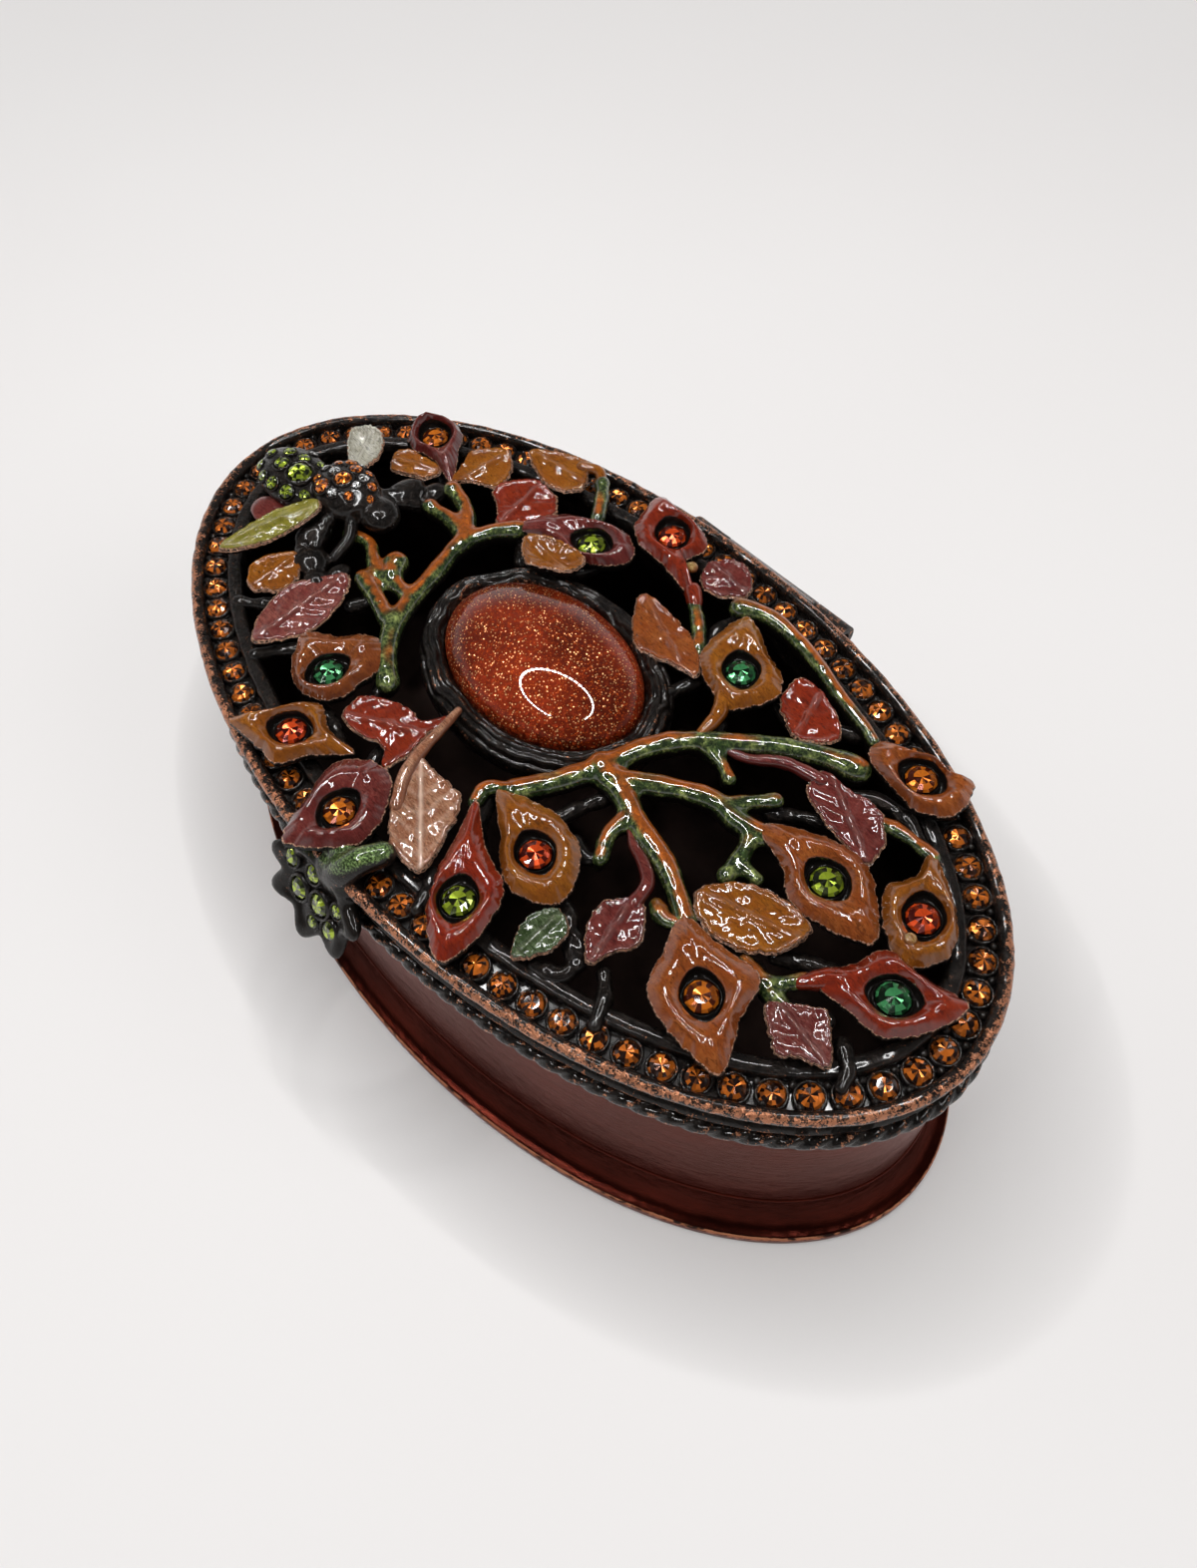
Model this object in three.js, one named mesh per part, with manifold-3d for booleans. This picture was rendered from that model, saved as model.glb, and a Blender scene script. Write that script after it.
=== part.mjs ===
// Oval enamelled trinket box with a hinged, pierced lid: branches and jewelled leaves
// round an oval cabochon, a jewelled insect at one end, and a thumb tab at the front.
// Millimetres. X runs along the oval, Y points to the hinge at the back, Z is up.
// The origin is the middle of the underside.
import * as THREE from 'three';
import { mergeVertices } from 'three/addons/utils/BufferGeometryUtils.js';
import Module from 'manifold-3d';

const wasm = await Module();
wasm.setup();

// Plan of the box: the oval on which the border crystals sit
const BORDER_HALF_LENGTH = 50;
const BORDER_HALF_WIDTH = 25.7;
const SEATING_GAP = 0.3;
const CUT_OVERRUN = 1;
const OVAL_STEPS = 44;

// The openwork is drawn on a grid: so many columns and rows reach from the middle to the border
const GRID_COLUMNS = 50;
const GRID_ROWS = 26;

// Base: wall, flared foot and the inner lip that locates the lid, as distances out from the border
const WALL_OUT = 1.6;
const WALL_THICKNESS = 1.9;
const FOOT_OUT = 4.5;
const FOOT_EDGE_HEIGHT = 1.9;
const FOOT_CHAMFER = 0.35;
const COVE_HEIGHT = 5;
const FLOOR_THICKNESS = 1.8;
const FLOOR_FILLET = 1.2;
const BASE_HEIGHT = 29.3;
const LIP_HEIGHT = 1.9;
const LIP_THICKNESS = 1;
const SHOULDER_DROP = 1.6;
const COVE_STEPS = 4;

// Lid: side wall with rope moulding, ridge, hollow band and bead, then the crystal channel
const LID_WALL_THICKNESS = 1.2;
const ROPE_RADIUS = 0.85;
const ROPE_OUT = 2.25;
const RIDGE_HEIGHT = 0.7;
const RIDGE_PROUD = 0.85;
const BAND_HEIGHT = 3.55;
const BEAD_RADIUS = 0.65;
const BEAD_OUT = 2.05;
const ROPE_ARC_DEGREES = [-90, 90];
const BEAD_ARC_DEGREES = [-80, 170];
const MOULDING_STEPS = 4;
const CHANNEL_DEPTH = 1.5;
const CHANNEL_HALF_WIDTH = 1.45;
const CHANNEL_FLOOR_THICKNESS = 1.4;
const INNER_RING_WIDTH = 1.7;
const INNER_RING_DROP = 0.1;

// Hinge: barrel axis behind the border, knuckles along X
const HINGE_OUT = 5.6;
const BARREL_RADIUS = 1.8;
const BORE_RADIUS = 0.95;
const PIN_RADIUS = 0.65;
const PIN_END_PROUD = 0.2;
const HINGE_HALF_LENGTH = 11.8;
const MIDDLE_KNUCKLE_HALF_LENGTH = 6.8;
const HINGE_ARM_DEPTH = 4.8;
const HINGE_STRIP_HEIGHT = 2;
const HINGE_STRIP_THICKNESS = 1.1;
const BARREL_SIDES = 20;
const PIN_SIDES = 16;
// Corners of the two kinds of arm round the barrel, as shares of its radius from its axis
const BASE_ARM_SHARES = [[0.5, -0.86], [0, 0]];
const BASE_ARM_TOP_SHARE = 0.8;
const LID_ARM_SHARES = [[-1, 0.8], [-0.7, 0.3], [0.7, 0.6]];

// Border crystals
const CRYSTAL_PITCH = 3.1;
const CRYSTAL_RADIUS = 1.2;
const CRYSTAL_TABLE_RADIUS = 0.72;
const CRYSTAL_RISE = 1.15;
const CRYSTAL_BED_THICKNESS = 0.25;
const CRYSTAL_BED_HALF_WIDTH = 1.25;
const CRYSTAL_SIDES = 6;
const ARC_DIVISIONS = 400;

// Cabochon and its bark-like bezel, whose centre is a place on the lid
const CABOCHON_CENTRE_SHARES = [-3.6, 1.6];
const CABOCHON_HALF_LENGTH = 12.25;
const CABOCHON_HALF_WIDTH = 8.4;
const CABOCHON_HEIGHT = 5.9;
const CABOCHON_GIRDLE = 1.6;
const BEZEL_WIDTH = 3;
const BEZEL_SEAT_LEDGE = 1.7;
const BEZEL_SEAT_THICKNESS = 0.8;
const BEZEL_LIP_HEIGHT = 2;
const BEZEL_CREST_HEIGHT = 2.6;
const BEZEL_DROP = 1.1;
const BEZEL_CREST_SHARE = 0.35;
const BEZEL_SHOULDER_SHARE = 0.75;
const BEZEL_STEPS = 32;
const DOME_STEPS = 6;

// Leaves and branches lie this far above the bead's top
const LEAF_RISE = 1.8;
const PLAIN_LEAF_RISE = 1.6;
const LEAF_THICKNESS = 1.45;
const PLAIN_LEAF_THICKNESS = 1.1;
const LEAF_RIM_WIDTH = 0.5;
const LEAF_RIM_RISE = 0.4;
const LEAF_DISH = 0.12;
const LEAF_UNDERCUT = 0.4;
const LEAF_VEIN_RISE = 0.3;
const CORNER_LIFT = 1;
const EDGE_STEPS_PER_CORNER = 2;
const BRANCH_RISE = 0.9;
const BRANCH_RADIUS = 1.15;
const BRANCH_SIDES = 6;
const RUN_STEPS_PER_POINT = 1.5;
const ROUND_END_SHARE = 0.6;

// Cups and stones of the jewelled leaves
const STONE_RADIUS = 1.55;
const STONE_TABLE_RADIUS = 0.95;
const STONE_BACK_RADIUS = 0.7;
const STONE_CROWN_RISE = 0.5;
const STONE_BACK_DEPTH = 0.5;
const CUP_CLEARANCE = 0.4;
const CUP_WALL = 0.5;
const CUP_RISE = 0.25;
const CUP_FLOOR_THICKNESS = 0.35;
const STONE_SIDES = 8;

// Insect: height of its axis above the bead, body swellings and wings
const INSECT_RISE = 2.9;
const INSECT_HALF_WIDTH = 3.1;
const INSECT_STONE_RADIUS = 1.15;
const INSECT_STONE_RISE = 0.55;
const INSECT_STONE_TABLE_SHARE = 0.6;
const SWELLING_SIDES = 12;
const SWELLING_RINGS = 7;
const LEG_RADIUS = 1.1;
const WING_THICKNESS = 0.8;
const WING_RISE = 4;

// Thumb tab: a lobed plaque in front of the rim on a neck that comes over the bead
const TAB_HALF_WIDTH = 6.8;
const TAB_HALF_HEIGHT = 4.6;
const TAB_THICKNESS = 2.8;
const TAB_OUT = 4.9;
const TAB_CENTRE_SHARE = -0.6;
const TAB_DROP = 4.2;
// How far the plaque's foot leans out, as a share of the drop from its middle
const TAB_LEAN_SHARE = 0.38;
const TAB_LOBES = 7;
const TAB_LOBE_SHARE = 0.09;
const TAB_RECESS = 0.9;
const TAB_CRYSTALS = 5;
const TAB_NECK_RADIUS = 1.5;
const TAB_NECK_SIDES = 10;
const TAB_NECK_TAPER_SHARE = 0.8;
const TAB_FLARE_SHARE = 0.6;
// Reach of the plaque's rings at its back, middle, front edge and recessed floor
const TAB_BACK_SHARE = 0.62;
const TAB_MIDDLE_SHARE = 0.94;
const TAB_EDGE_SHARE = 0.86;
const TAB_FLOOR_SHARE = 0.72;
const TAB_CRYSTAL_SPREAD_SHARE = 1.5;
const TAB_CRYSTAL_STAGGER_SHARE = 0.2;
// How far along the half width the neck starts, crosses the bead and bends down
const TAB_NECK_START_SHARE = 0.6;
const TAB_NECK_CROSS_SHARE = 0.5;
const TAB_NECK_BEND_SHARE = 0.3;
const TAB_STEPS = 28;

// Heights that follow from the sizes above
const LID_BOTTOM = BASE_HEIGHT + SEATING_GAP;
const ROPE_CENTRE_Z = LID_BOTTOM + ROPE_RADIUS;
const RIDGE_Z = ROPE_CENTRE_Z + ROPE_RADIUS;
const BAND_Z = RIDGE_Z + RIDGE_HEIGHT;
const BEAD_CENTRE_Z = BAND_Z + BAND_HEIGHT + BEAD_RADIUS / 2;
const BEAD_TOP = BEAD_CENTRE_Z + BEAD_RADIUS;
const CHANNEL_Z = BEAD_TOP - CHANNEL_DEPTH;
const LEAF_Z = BEAD_TOP + LEAF_RISE;
const PLAIN_LEAF_Z = BEAD_TOP + PLAIN_LEAF_RISE;
const BRANCH_Z = BEAD_TOP + BRANCH_RISE;
const CABOCHON_Z = CHANNEL_Z + SEATING_GAP;
const HINGE_Y = BORDER_HALF_WIDTH + HINGE_OUT;
const HINGE_Z = BASE_HEIGHT + SEATING_GAP / 2;

// Jewelled leaves: the stone's seat and the outline's corners on the grid, anticlockwise.
// A third number lifts that corner above or below the leaf's level, as a share of CORNER_LIFT.
const JEWEL_LEAF_SHARES = {
  ochre_front_left: {
    seat: [-13.8, -22.5],
    outline: [[-18.8, -26.3, 0.3], [-15, -26.1], [-11.5, -25.8], [-9.9, -22.9], [-7.2, -19.4],
      [-10.6, -19.7], [-14.6, -18.7, 0.3], [-17, -22.3]],
  },
  brown_left: {
    seat: [-17.3, -15.5],
    outline: [[-22.9, -14.4, 0.3], [-20.4, -17.9], [-16.8, -19.1], [-14.2, -17.6], [-13.7, -13.7],
      [-14.6, -10.1], [-17.6, -9.1], [-20.3, -12]],
  },
  plum_front: {
    seat: [-2.9, -24.4],
    outline: [[-4, -30.3, -0.3], [-0.9, -28.2], [1.3, -25], [0.5, -21.5], [-3, -18.4], [-6, -19.2],
      [-7.7, -21.8], [-6.3, -25.6]],
  },
  ochre_front_right: {
    seat: [13.3, -13.8],
    outline: [[5.4, -11.8], [9.2, -14.7], [12.4, -17.2], [15.2, -17.8], [18.4, -15.6, -0.3],
      [16.6, -11], [11.8, -9.7, 0.3], [8, -10.6]],
  },
  brick_front: {
    seat: [12.2, -22],
    outline: [[5, -14.1], [6.8, -17.8], [9, -22.4], [11.6, -25.3], [15.8, -27, -0.2], [16.3, -23.7],
      [14.3, -18.4], [9.8, -16.8]],
  },
  copper_front_right: {
    seat: [33.4, -12.4],
    outline: [[39.2, -16.1, -0.2], [37, -11.3], [35.8, -7.7, 0.3], [30.8, -7.9], [26.8, -8.2],
      [28.2, -12.1], [30, -15.6], [33.6, -16.7]],
  },
  red_right_end: {
    seat: [44.4, -0.6],
    outline: [[49.2, 3.2, 0.5], [45.6, 2.8], [41, 2.3], [39.9, -1], [38.4, -4.2], [42.6, -4.4],
      [45.9, -4.1], [48.1, -1.5]],
    stem: [[38.8, -3.8], [37.4, -5.8, -0.4], [36, -7.4, -0.5]],
  },
  copper_right: {
    seat: [33.2, 3.6],
    outline: [[39.9, 2.2, -0.3], [36.9, 6], [34, 7.5], [30.2, 7], [25, 3.4], [29.6, 1.6],
      [32, -0.2], [36, 0]],
  },
  ochre_right_end: {
    seat: [41.3, 7],
    outline: [[45.2, 5.7], [43.8, 8.7], [40.9, 11.1], [37.5, 12.7], [38.2, 9.6], [37.1, 7.3],
      [39, 4.2], [43.2, 2.4, -0.3]],
    stem: [[37.7, 12.4], [35, 12.6, -0.3], [32.6, 12.3, -0.4]],
  },
  copper_back_right: {
    seat: [31.9, 18.2],
    outline: [[36.6, 17.2], [35.6, 21.1, 0.5], [33.2, 20.2], [29.8, 19.9], [26.4, 18.6],
      [26.8, 16.6], [30, 15.5], [33.6, 15.1]],
  },
  ochre_back: {
    seat: [11.5, 15],
    outline: [[16.3, 15.2, 0.3], [14.8, 17.5], [12.2, 18.5], [7.1, 20.5, 0.3], [6.6, 16.2],
      [7.4, 13.1], [11.2, 11.2], [14, 10.8]],
    stem: [[12.6, 11.6], [14.2, 9.2], [14.2, 6.9]],
  },
  red_back: {
    seat: [-6.7, 23.1],
    outline: [[-2.7, 24.2], [-4.2, 25.6, 0.3], [-8, 25.9, 0.3], [-11.4, 26.2, 0.5], [-11.7, 23.7],
      [-9.8, 20.2], [-4.6, 19.3], [1.8, 18.3], [-2.9, 21.5]],
    stem: [[1.4, 18.5], [3.3, 17, -0.3], [5.2, 15.4, -0.4]],
  },
  plum_back_left: {
    seat: [-11.9, 15.9],
    outline: [[-7.2, 17.6], [-9.7, 19.4, 0.3], [-14, 18.6], [-17.9, 16.2], [-19.6, 11.6],
      [-15.4, 12.6], [-11, 13.1], [-7.6, 15.6]],
  },
  mauve_left_end: {
    seat: [-37.4, 14.1],
    outline: [[-30.3, 10.8, -0.3], [-33.6, 14.7], [-35.4, 16.6], [-38.4, 16.9], [-41, 14.4, 0.3],
      [-39.8, 12], [-37.6, 10.9], [-34.4, 11.5]],
  },
};

// Plain leaves, drawn the same way. The first corner is the tip that the vein runs to.
const PLAIN_LEAF_SHARES = {
  leaf_rose_left: {
    outline: [[-26, -19, 0.3], [-23.8, -15.6], [-23, -13.4, 0.3], [-24.6, -8.5], [-26.8, -6.1],
      [-29, -8.9], [-29.8, -12.1, 0.3], [-28.6, -16.8]],
  },
  leaf_ochre_left_end: {
    outline: [[-32.5, -15.1, 0.2], [-30.9, -13.8], [-29.9, -12.3], [-31, -9.7], [-33.6, -8.5],
      [-35.3, -13, 0.2]],
  },
  leaf_red_front: {
    outline: [[-12, -17.6], [-8.6, -17.4], [-6.4, -16.2], [-4.8, -15.2], [-4.9, -11.7, 0.2],
      [-8, -12.3], [-11.6, -13.5], [-13.2, -14.4]],
  },
  leaf_rose_gold_front: {
    outline: [[7.4, -22.6, -0.2], [5.9, -18.2], [4.8, -16], [3.4, -14.8], [0, -14.9],
      [-2.6, -15.1], [-1.8, -18.4], [0.2, -20.7], [3.6, -23.1]],
    stem: [[-3.9, -9.8, 0.3], [-3.3, -12.9, 0.3], [-2.3, -16.5, 0.3], [-0.4, -19.6]],
  },
  leaf_plum_front_right: {
    outline: [[24.8, -17.5], [25.2, -15.2], [26.2, -13.1], [25, -10.9], [23.8, -9.9],
      [22.6, -10.3], [21, -12.5], [22, -15.4]],
    stem: [[23, -10.6], [22.3, -8.2], [20.4, -7], [18.6, -6.7, -0.3]],
  },
  leaf_ochre_right: {
    outline: [[25.9, -5.6], [28.6, -7.6], [32.8, -6.7], [35.5, -3.7, 0.3], [35.4, -0.8, 0.3],
      [30.6, -0.7], [28, -2.1]],
  },
  leaf_mauve_right_end: {
    outline: [[44.9, -9.2, 0.2], [43.6, -7.3], [41.6, -5.8, 0.3], [38.4, -7.5], [37.5, -9, 0.3],
      [39.4, -10.5], [41.1, -11.4], [42.8, -10.1]],
  },
  leaf_plum_right: {
    outline: [[34.5, 7.6, -0.3], [34, 10.5], [31.6, 12.6, 0.3], [28, 12.5], [24.8, 12.2],
      [25.2, 9.7], [28.4, 8.3], [31.4, 7.7]],
    stem: [[25.6, 11.4], [21.9, 10.4], [18.9, 8.2, -0.2]],
  },
  leaf_red_back_right: {
    outline: [[20.6, 13.2], [23.3, 14.7, 0.3], [23.5, 16.5], [21.4, 18.1], [18.8, 19.1],
      [16, 19, 0.2], [16.3, 15.8], [18.2, 14.2]],
  },
  leaf_ochre_by_cabochon: {
    outline: [[-16.8, 11.1, 0.6], [-15.6, 9.1, 1], [-13, 7.8, 1.6], [-10.6, 8.7, 1.8],
      [-9, 10, 1.6], [-8.8, 12.1, 1.2], [-10.2, 13.4, 0.6], [-12.9, 13, 0.6]],
    level: 0.9,
  },
  leaf_red_back_left: {
    outline: [[-21, 10.3], [-19, 12.2], [-17.8, 14.6], [-19.7, 17.6], [-23.4, 17.9, 0.3],
      [-26.1, 15, 0.2], [-26.1, 13.6], [-23.6, 12]],
  },
  leaf_ochre_back_left: {
    outline: [[-29.1, 18.7, 0.4], [-32.4, 15.5, 0.2], [-31, 12.5], [-30.4, 10.7], [-28.6, 12.7],
      [-26, 13.8], [-26.2, 15.8], [-27.2, 17.2]],
  },
  leaf_ochre_back_edge: {
    outline: [[-27.9, 20.6, 0.2], [-24.6, 19], [-21.8, 18.5], [-19.6, 19.6], [-19, 21],
      [-21.6, 24, 0.3], [-25, 22.8, 0.2]],
    stem: [[-21.6, 23.7, 0.3], [-19, 24.2, 0.4], [-16.8, 21.9, 0.2], [-14.6, 19.2]],
  },
  leaf_ochre_by_insect: {
    outline: [[-32.2, 10.9, 0.2], [-34.8, 11.1], [-37.8, 10.5], [-38.6, 9.1], [-36.8, 7.1],
      [-34.4, 8.1], [-32.8, 9]],
  },
  leaf_copper_back: {
    outline: [[-2.8, 15, 0.3], [-1, 11.8], [2, 9.6, 0.2], [5.4, 10.6], [8.8, 11.6], [7, 13.6],
      [6, 14.2], [2.5, 15.2]],
  },
  leaf_plum_back: {
    outline: [[4.8, 22.8], [3.6, 24.9], [1.6, 25.7, 0.3], [-0.4, 24.9], [-1.2, 22.9], [0.6, 20.4],
      [2.8, 20.8]],
  },
  bud_green_front: {
    outline: [[19.8, -22], [21.6, -18.4], [20.6, -16.2], [18.8, -15.9], [17.6, -18.6]],
  },
};

// Branches: each run is a line of grid points with a thickness share at its start and its end
const BRANCH_SHARES = {
  branch_right: [
    { line: [[6.4, -10.7], [8.6, -6.5], [10.2, -2], [11.6, 2.4], [13.8, 5.7], [16.8, 8.5],
      [20, 11.3], [24.2, 13.9], [27, 15, -0.2]], thickness: [0.9, 0.95] },
    { line: [[11.4, -3.2], [14.6, -0.8], [17.4, 1.2], [20.4, 2.6], [23, 2.5], [26.2, 3.4, -0.2]],
      thickness: [1, 0.8] },
    { line: [[21, 2.6], [22.6, 4.9], [24.2, 6.5, 0.4]], thickness: [0.7, 0.65] },
    { line: [[25, 3], [25.8, 0.6, -0.3], [26.4, -2.2, -0.3]], thickness: [0.7, 0.7] },
    { line: [[25.9, -0.4, -0.3], [28.6, -0.5, -0.2]], thickness: [0.6, 0.5] },
    { line: [[10, -2.6], [14.6, -3.6], [18.2, -4.8], [21.6, -5.5], [24.8, -6.9],
      [27.2, -8.2, -0.2]], thickness: [1, 0.8] },
    { line: [[16, -4.2], [16, -7.2, -0.2], [17.3, -9.4, -0.4]], thickness: [0.8, 0.6] },
    { line: [[14.4, 6.2], [17.2, 6.3, -0.3], [19.3, 5.5, -0.4]], thickness: [0.6, 0.5] },
  ],
  branch_left: [
    { line: [[-19.4, 11.8], [-21.4, 9.1], [-22.2, 5.6], [-20.8, 1], [-19.6, -3], [-17.7, -7.1],
      [-14.6, -10.2], [-12.6, -11.6, -0.4]], thickness: [0.85, 0.9] },
    { line: [[-29.4, 10.3, 0.2], [-26.4, 9.7], [-23.8, 7.9], [-22.2, 5.8]],
      thickness: [0.8, 0.8] },
    { line: [[-29.2, 6.9], [-26, 7.3], [-23, 6.9]], thickness: [0.7, 0.8] },
    { line: [[-32.4, -2.2, -0.2], [-29.4, -1.5], [-26, -3.2], [-22.6, -3.1], [-19.8, -3]],
      thickness: [0.6, 0.8] },
    { line: [[-24.8, -1.3], [-23.8, -2.6]], thickness: [1, 0.9] },
    { line: [[-25.6, -5.1], [-22.6, -5.7], [-19.4, -6.6], [-18, -6.8]], thickness: [0.8, 0.8] },
  ],
  branch_back: [
    { line: [[5.6, 21], [8.2, 22.3], [12.4, 22.2], [16.4, 21.3], [20.4, 20], [24.6, 18.9],
      [26, 18.4, -0.2]], thickness: [0.75, 0.6] },
  ],
};
const BRANCH_BACK_RISE = 1.4;

// Insect: swellings as grid centre, level and reach, the last two as shares of its half width,
// then legs and set stones
const INSECT_SHARES = {
  swellings: [
    { centre: [-41.6, -2.2], level: -0.03, reach: [1.68, 1, 0.68] },
    { centre: [-35.6, -0.6], level: 0.1, reach: [1.2, 1.03, 0.74] },
    { centre: [-31.6, 0.6], level: -0.13, reach: [0.71, 0.65, 0.55] },
  ],
  legs: [
    [[-35, -2, 0.1], [-33, -5.4, -1], [-32.4, -8, -1.7]],
    [[-34.4, 1.6, 0], [-32.6, 4.6, -0.9], [-31.6, 7, -1.6]],
  ],
};
const INSECT_STONE_SHARES = [
  [-38.6, -2.4, 1.75], [-42.2, -2, 1.9], [-40.6, -4.3, 1.2], [-44.6, -2.8, 1.35],
  [-36.8, 1.2, 2.1], [-35, -2.6, 2], [-37.6, -0.9, 2.3], [-33.4, -0.2, 2.2],
];

const WING_SHARES = {
  insect_wing_front: {
    outline: [[-38.4, -14.4, -1], [-36.7, -12.2, -0.8], [-35.6, -8.4, -0.4], [-35.2, -3.4, 0],
      [-36.4, -3.2, 0], [-38, -6.6, -0.4], [-39, -10.6, -0.8]],
  },
  insect_wing_back: {
    outline: [[-40.6, 8.4, 0.9], [-42, 6.8, 0.9], [-41, 4.6, 0.6], [-38, 2.6, 0.2],
      [-36.6, 3.4, 0.2], [-36.8, 6.2, 0.5], [-38.6, 8, 0.8]],
  },
};

// Colours of the enamels, stones and metals
const ENAMEL = {
  ochre: 0xa8692c, brown: 0x8a4a2c, plum: 0x6e3436, brick: 0x8c3322, copper: 0x96532f,
  red: 0xa83a1e, mauve: 0x7a4644, rose: 0x96595a, gold: 0xb0805c, green: 0x3c4c38,
};
const STONE_COLOUR = {
  ochre_front_left: 0xd04818, brown_left: 0x1c3a28, plum_front: 0xd07a18,
  ochre_front_right: 0xd8501c, brick_front: 0x6f8020, copper_front_right: 0xe07a16,
  red_right_end: 0x1f8038, copper_right: 0xa0a818, ochre_right_end: 0xd83c14,
  copper_back_right: 0xd8741a, ochre_back: 0x146a4c, red_back: 0xb82c18,
  plum_back_left: 0x66781c, mauve_left_end: 0xc87418,
};
const BLACK_METAL = 0x1c1a18;
const RUBBED_COPPER = 0x8a5138;
const BODY_ENAMEL = 0x5e2018;
const AMBER = 0xb0601c;
const AVENTURINE = 0x7c2c14;
const WING_YELLOW = 0xa09430;
const WING_PALE = 0xc8c2b0;

// Metalness and roughness of each finish
const CAST_FINISH = [0.6, 0.45];
const COPPER_FINISH = [0.8, 0.4];
const BODY_FINISH = [0.2, 0.2];
const LEAF_FINISH = [0.4, 0.3];
const GLASS_FINISH = [0, 0.1];
const WING_FINISH = [0.2, 0.3];

/** A material for one piece. */
function finish(color, [metalness, roughness]) {
  return new THREE.MeshStandardMaterial({ color, metalness, roughness });
}

/** A grid place, with an optional lift, as a point at the given height. */
function place([column, row, lift = 0], height) {
  const x = (column * BORDER_HALF_LENGTH) / GRID_COLUMNS;
  const y = (row * BORDER_HALF_WIDTH) / GRID_ROWS;
  return new THREE.Vector3(x, y, height + lift * CORNER_LIFT);
}

/** A solid from a closed geometry. */
function toSolid(geometry) {
  const bare = geometry.clone();
  for (const name of Object.keys(bare.attributes)) {
    if (name !== 'position') bare.deleteAttribute(name);
  }
  const merged = mergeVertices(bare);
  return new wasm.Manifold(new wasm.Mesh({
    numProp: 3,
    vertProperties: new Float32Array(merged.attributes.position.array),
    triVerts: new Uint32Array(merged.index.array),
  }));
}

/** A named mesh from a solid. */
function toMesh(name, solid, material) {
  const { vertProperties, triVerts } = solid.getMesh();
  const geometry = new THREE.BufferGeometry();
  geometry.setAttribute('position', new THREE.BufferAttribute(vertProperties, 3));
  geometry.setIndex(new THREE.BufferAttribute(triVerts, 1));
  geometry.computeVertexNormals();
  const mesh = new THREE.Mesh(geometry, material);
  mesh.name = name;
  return mesh;
}

/** A solid skinned over rings of equally many points, closed on itself or capped at both ends. */
function skin(rings, closed = false) {
  const count = rings[0].length;
  const positions = rings.flat().flatMap((point) => [point.x, point.y, point.z]);
  const triangles = [];
  const spans = closed ? rings.length : rings.length - 1;
  for (let ring = 0; ring < spans; ring += 1) {
    const here = ring * count;
    const next = ((ring + 1) % rings.length) * count;
    for (let step = 0; step < count; step += 1) {
      const after = (step + 1) % count;
      triangles.push(here + step, here + after, next + after, here + step, next + after, next + step);
    }
  }
  if (!closed) {
    for (const end of [0, rings.length - 1]) {
      const middle = new THREE.Vector3();
      rings[end].forEach((point) => middle.add(point));
      middle.divideScalar(count);
      const centre = positions.length / 3;
      positions.push(middle.x, middle.y, middle.z);
      for (let step = 0; step < count; step += 1) {
        const after = (step + 1) % count;
        const pair = end === 0 ? [after, step] : [step, after];
        triangles.push(end * count + pair[0], end * count + pair[1], centre);
      }
    }
  }
  const geometry = new THREE.BufferGeometry();
  geometry.setAttribute('position', new THREE.Float32BufferAttribute(positions, 3));
  if (signedVolume(positions, triangles) < 0) triangles.reverse();
  geometry.setIndex(triangles);
  return toSolid(geometry);
}

/** Volume of a triangle list, negative where its faces point inwards. */
function signedVolume(positions, triangles) {
  const corner = (index) => new THREE.Vector3().fromArray(positions, index * 3);
  let volume = 0;
  for (let first = 0; first < triangles.length; first += 3) {
    const [a, b, c] = [0, 1, 2].map((offset) => corner(triangles[first + offset]));
    volume += a.dot(b.cross(c));
  }
  return volume;
}

/** An oval ring of points, out from an oval of the given half sizes. */
function ovalRing(halfLength, halfWidth, out, height, steps, centre = new THREE.Vector3()) {
  return Array.from({ length: steps }, (_, step) => {
    const angle = (step / steps) * Math.PI * 2;
    return new THREE.Vector3(
      centre.x + (halfLength + out) * Math.cos(angle),
      centre.y + (halfWidth + out) * Math.sin(angle),
      height,
    );
  });
}

/** Border ovals for a profile of [distance out, height] pairs. */
function borderRings(profile) {
  return profile.map(([out, height]) => (
    ovalRing(BORDER_HALF_LENGTH, BORDER_HALF_WIDTH, out, height, OVAL_STEPS)
  ));
}

/** Profile points of an arc, from one angle to another in degrees. */
function arc(out, height, radius, [fromDegrees, toDegrees]) {
  return Array.from({ length: MOULDING_STEPS + 1 }, (_, step) => {
    const degrees = fromDegrees + ((toDegrees - fromDegrees) * step) / MOULDING_STEPS;
    const angle = THREE.MathUtils.degToRad(degrees);
    return [out + radius * Math.cos(angle), height + radius * Math.sin(angle)];
  });
}

/** The solid inside the base's or lid's outer wall, grown by the seating gap. */
function wallPlug(out, bottom, top) {
  return skin(borderRings([[out + SEATING_GAP, bottom], [out + SEATING_GAP, top]]));
}

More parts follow.
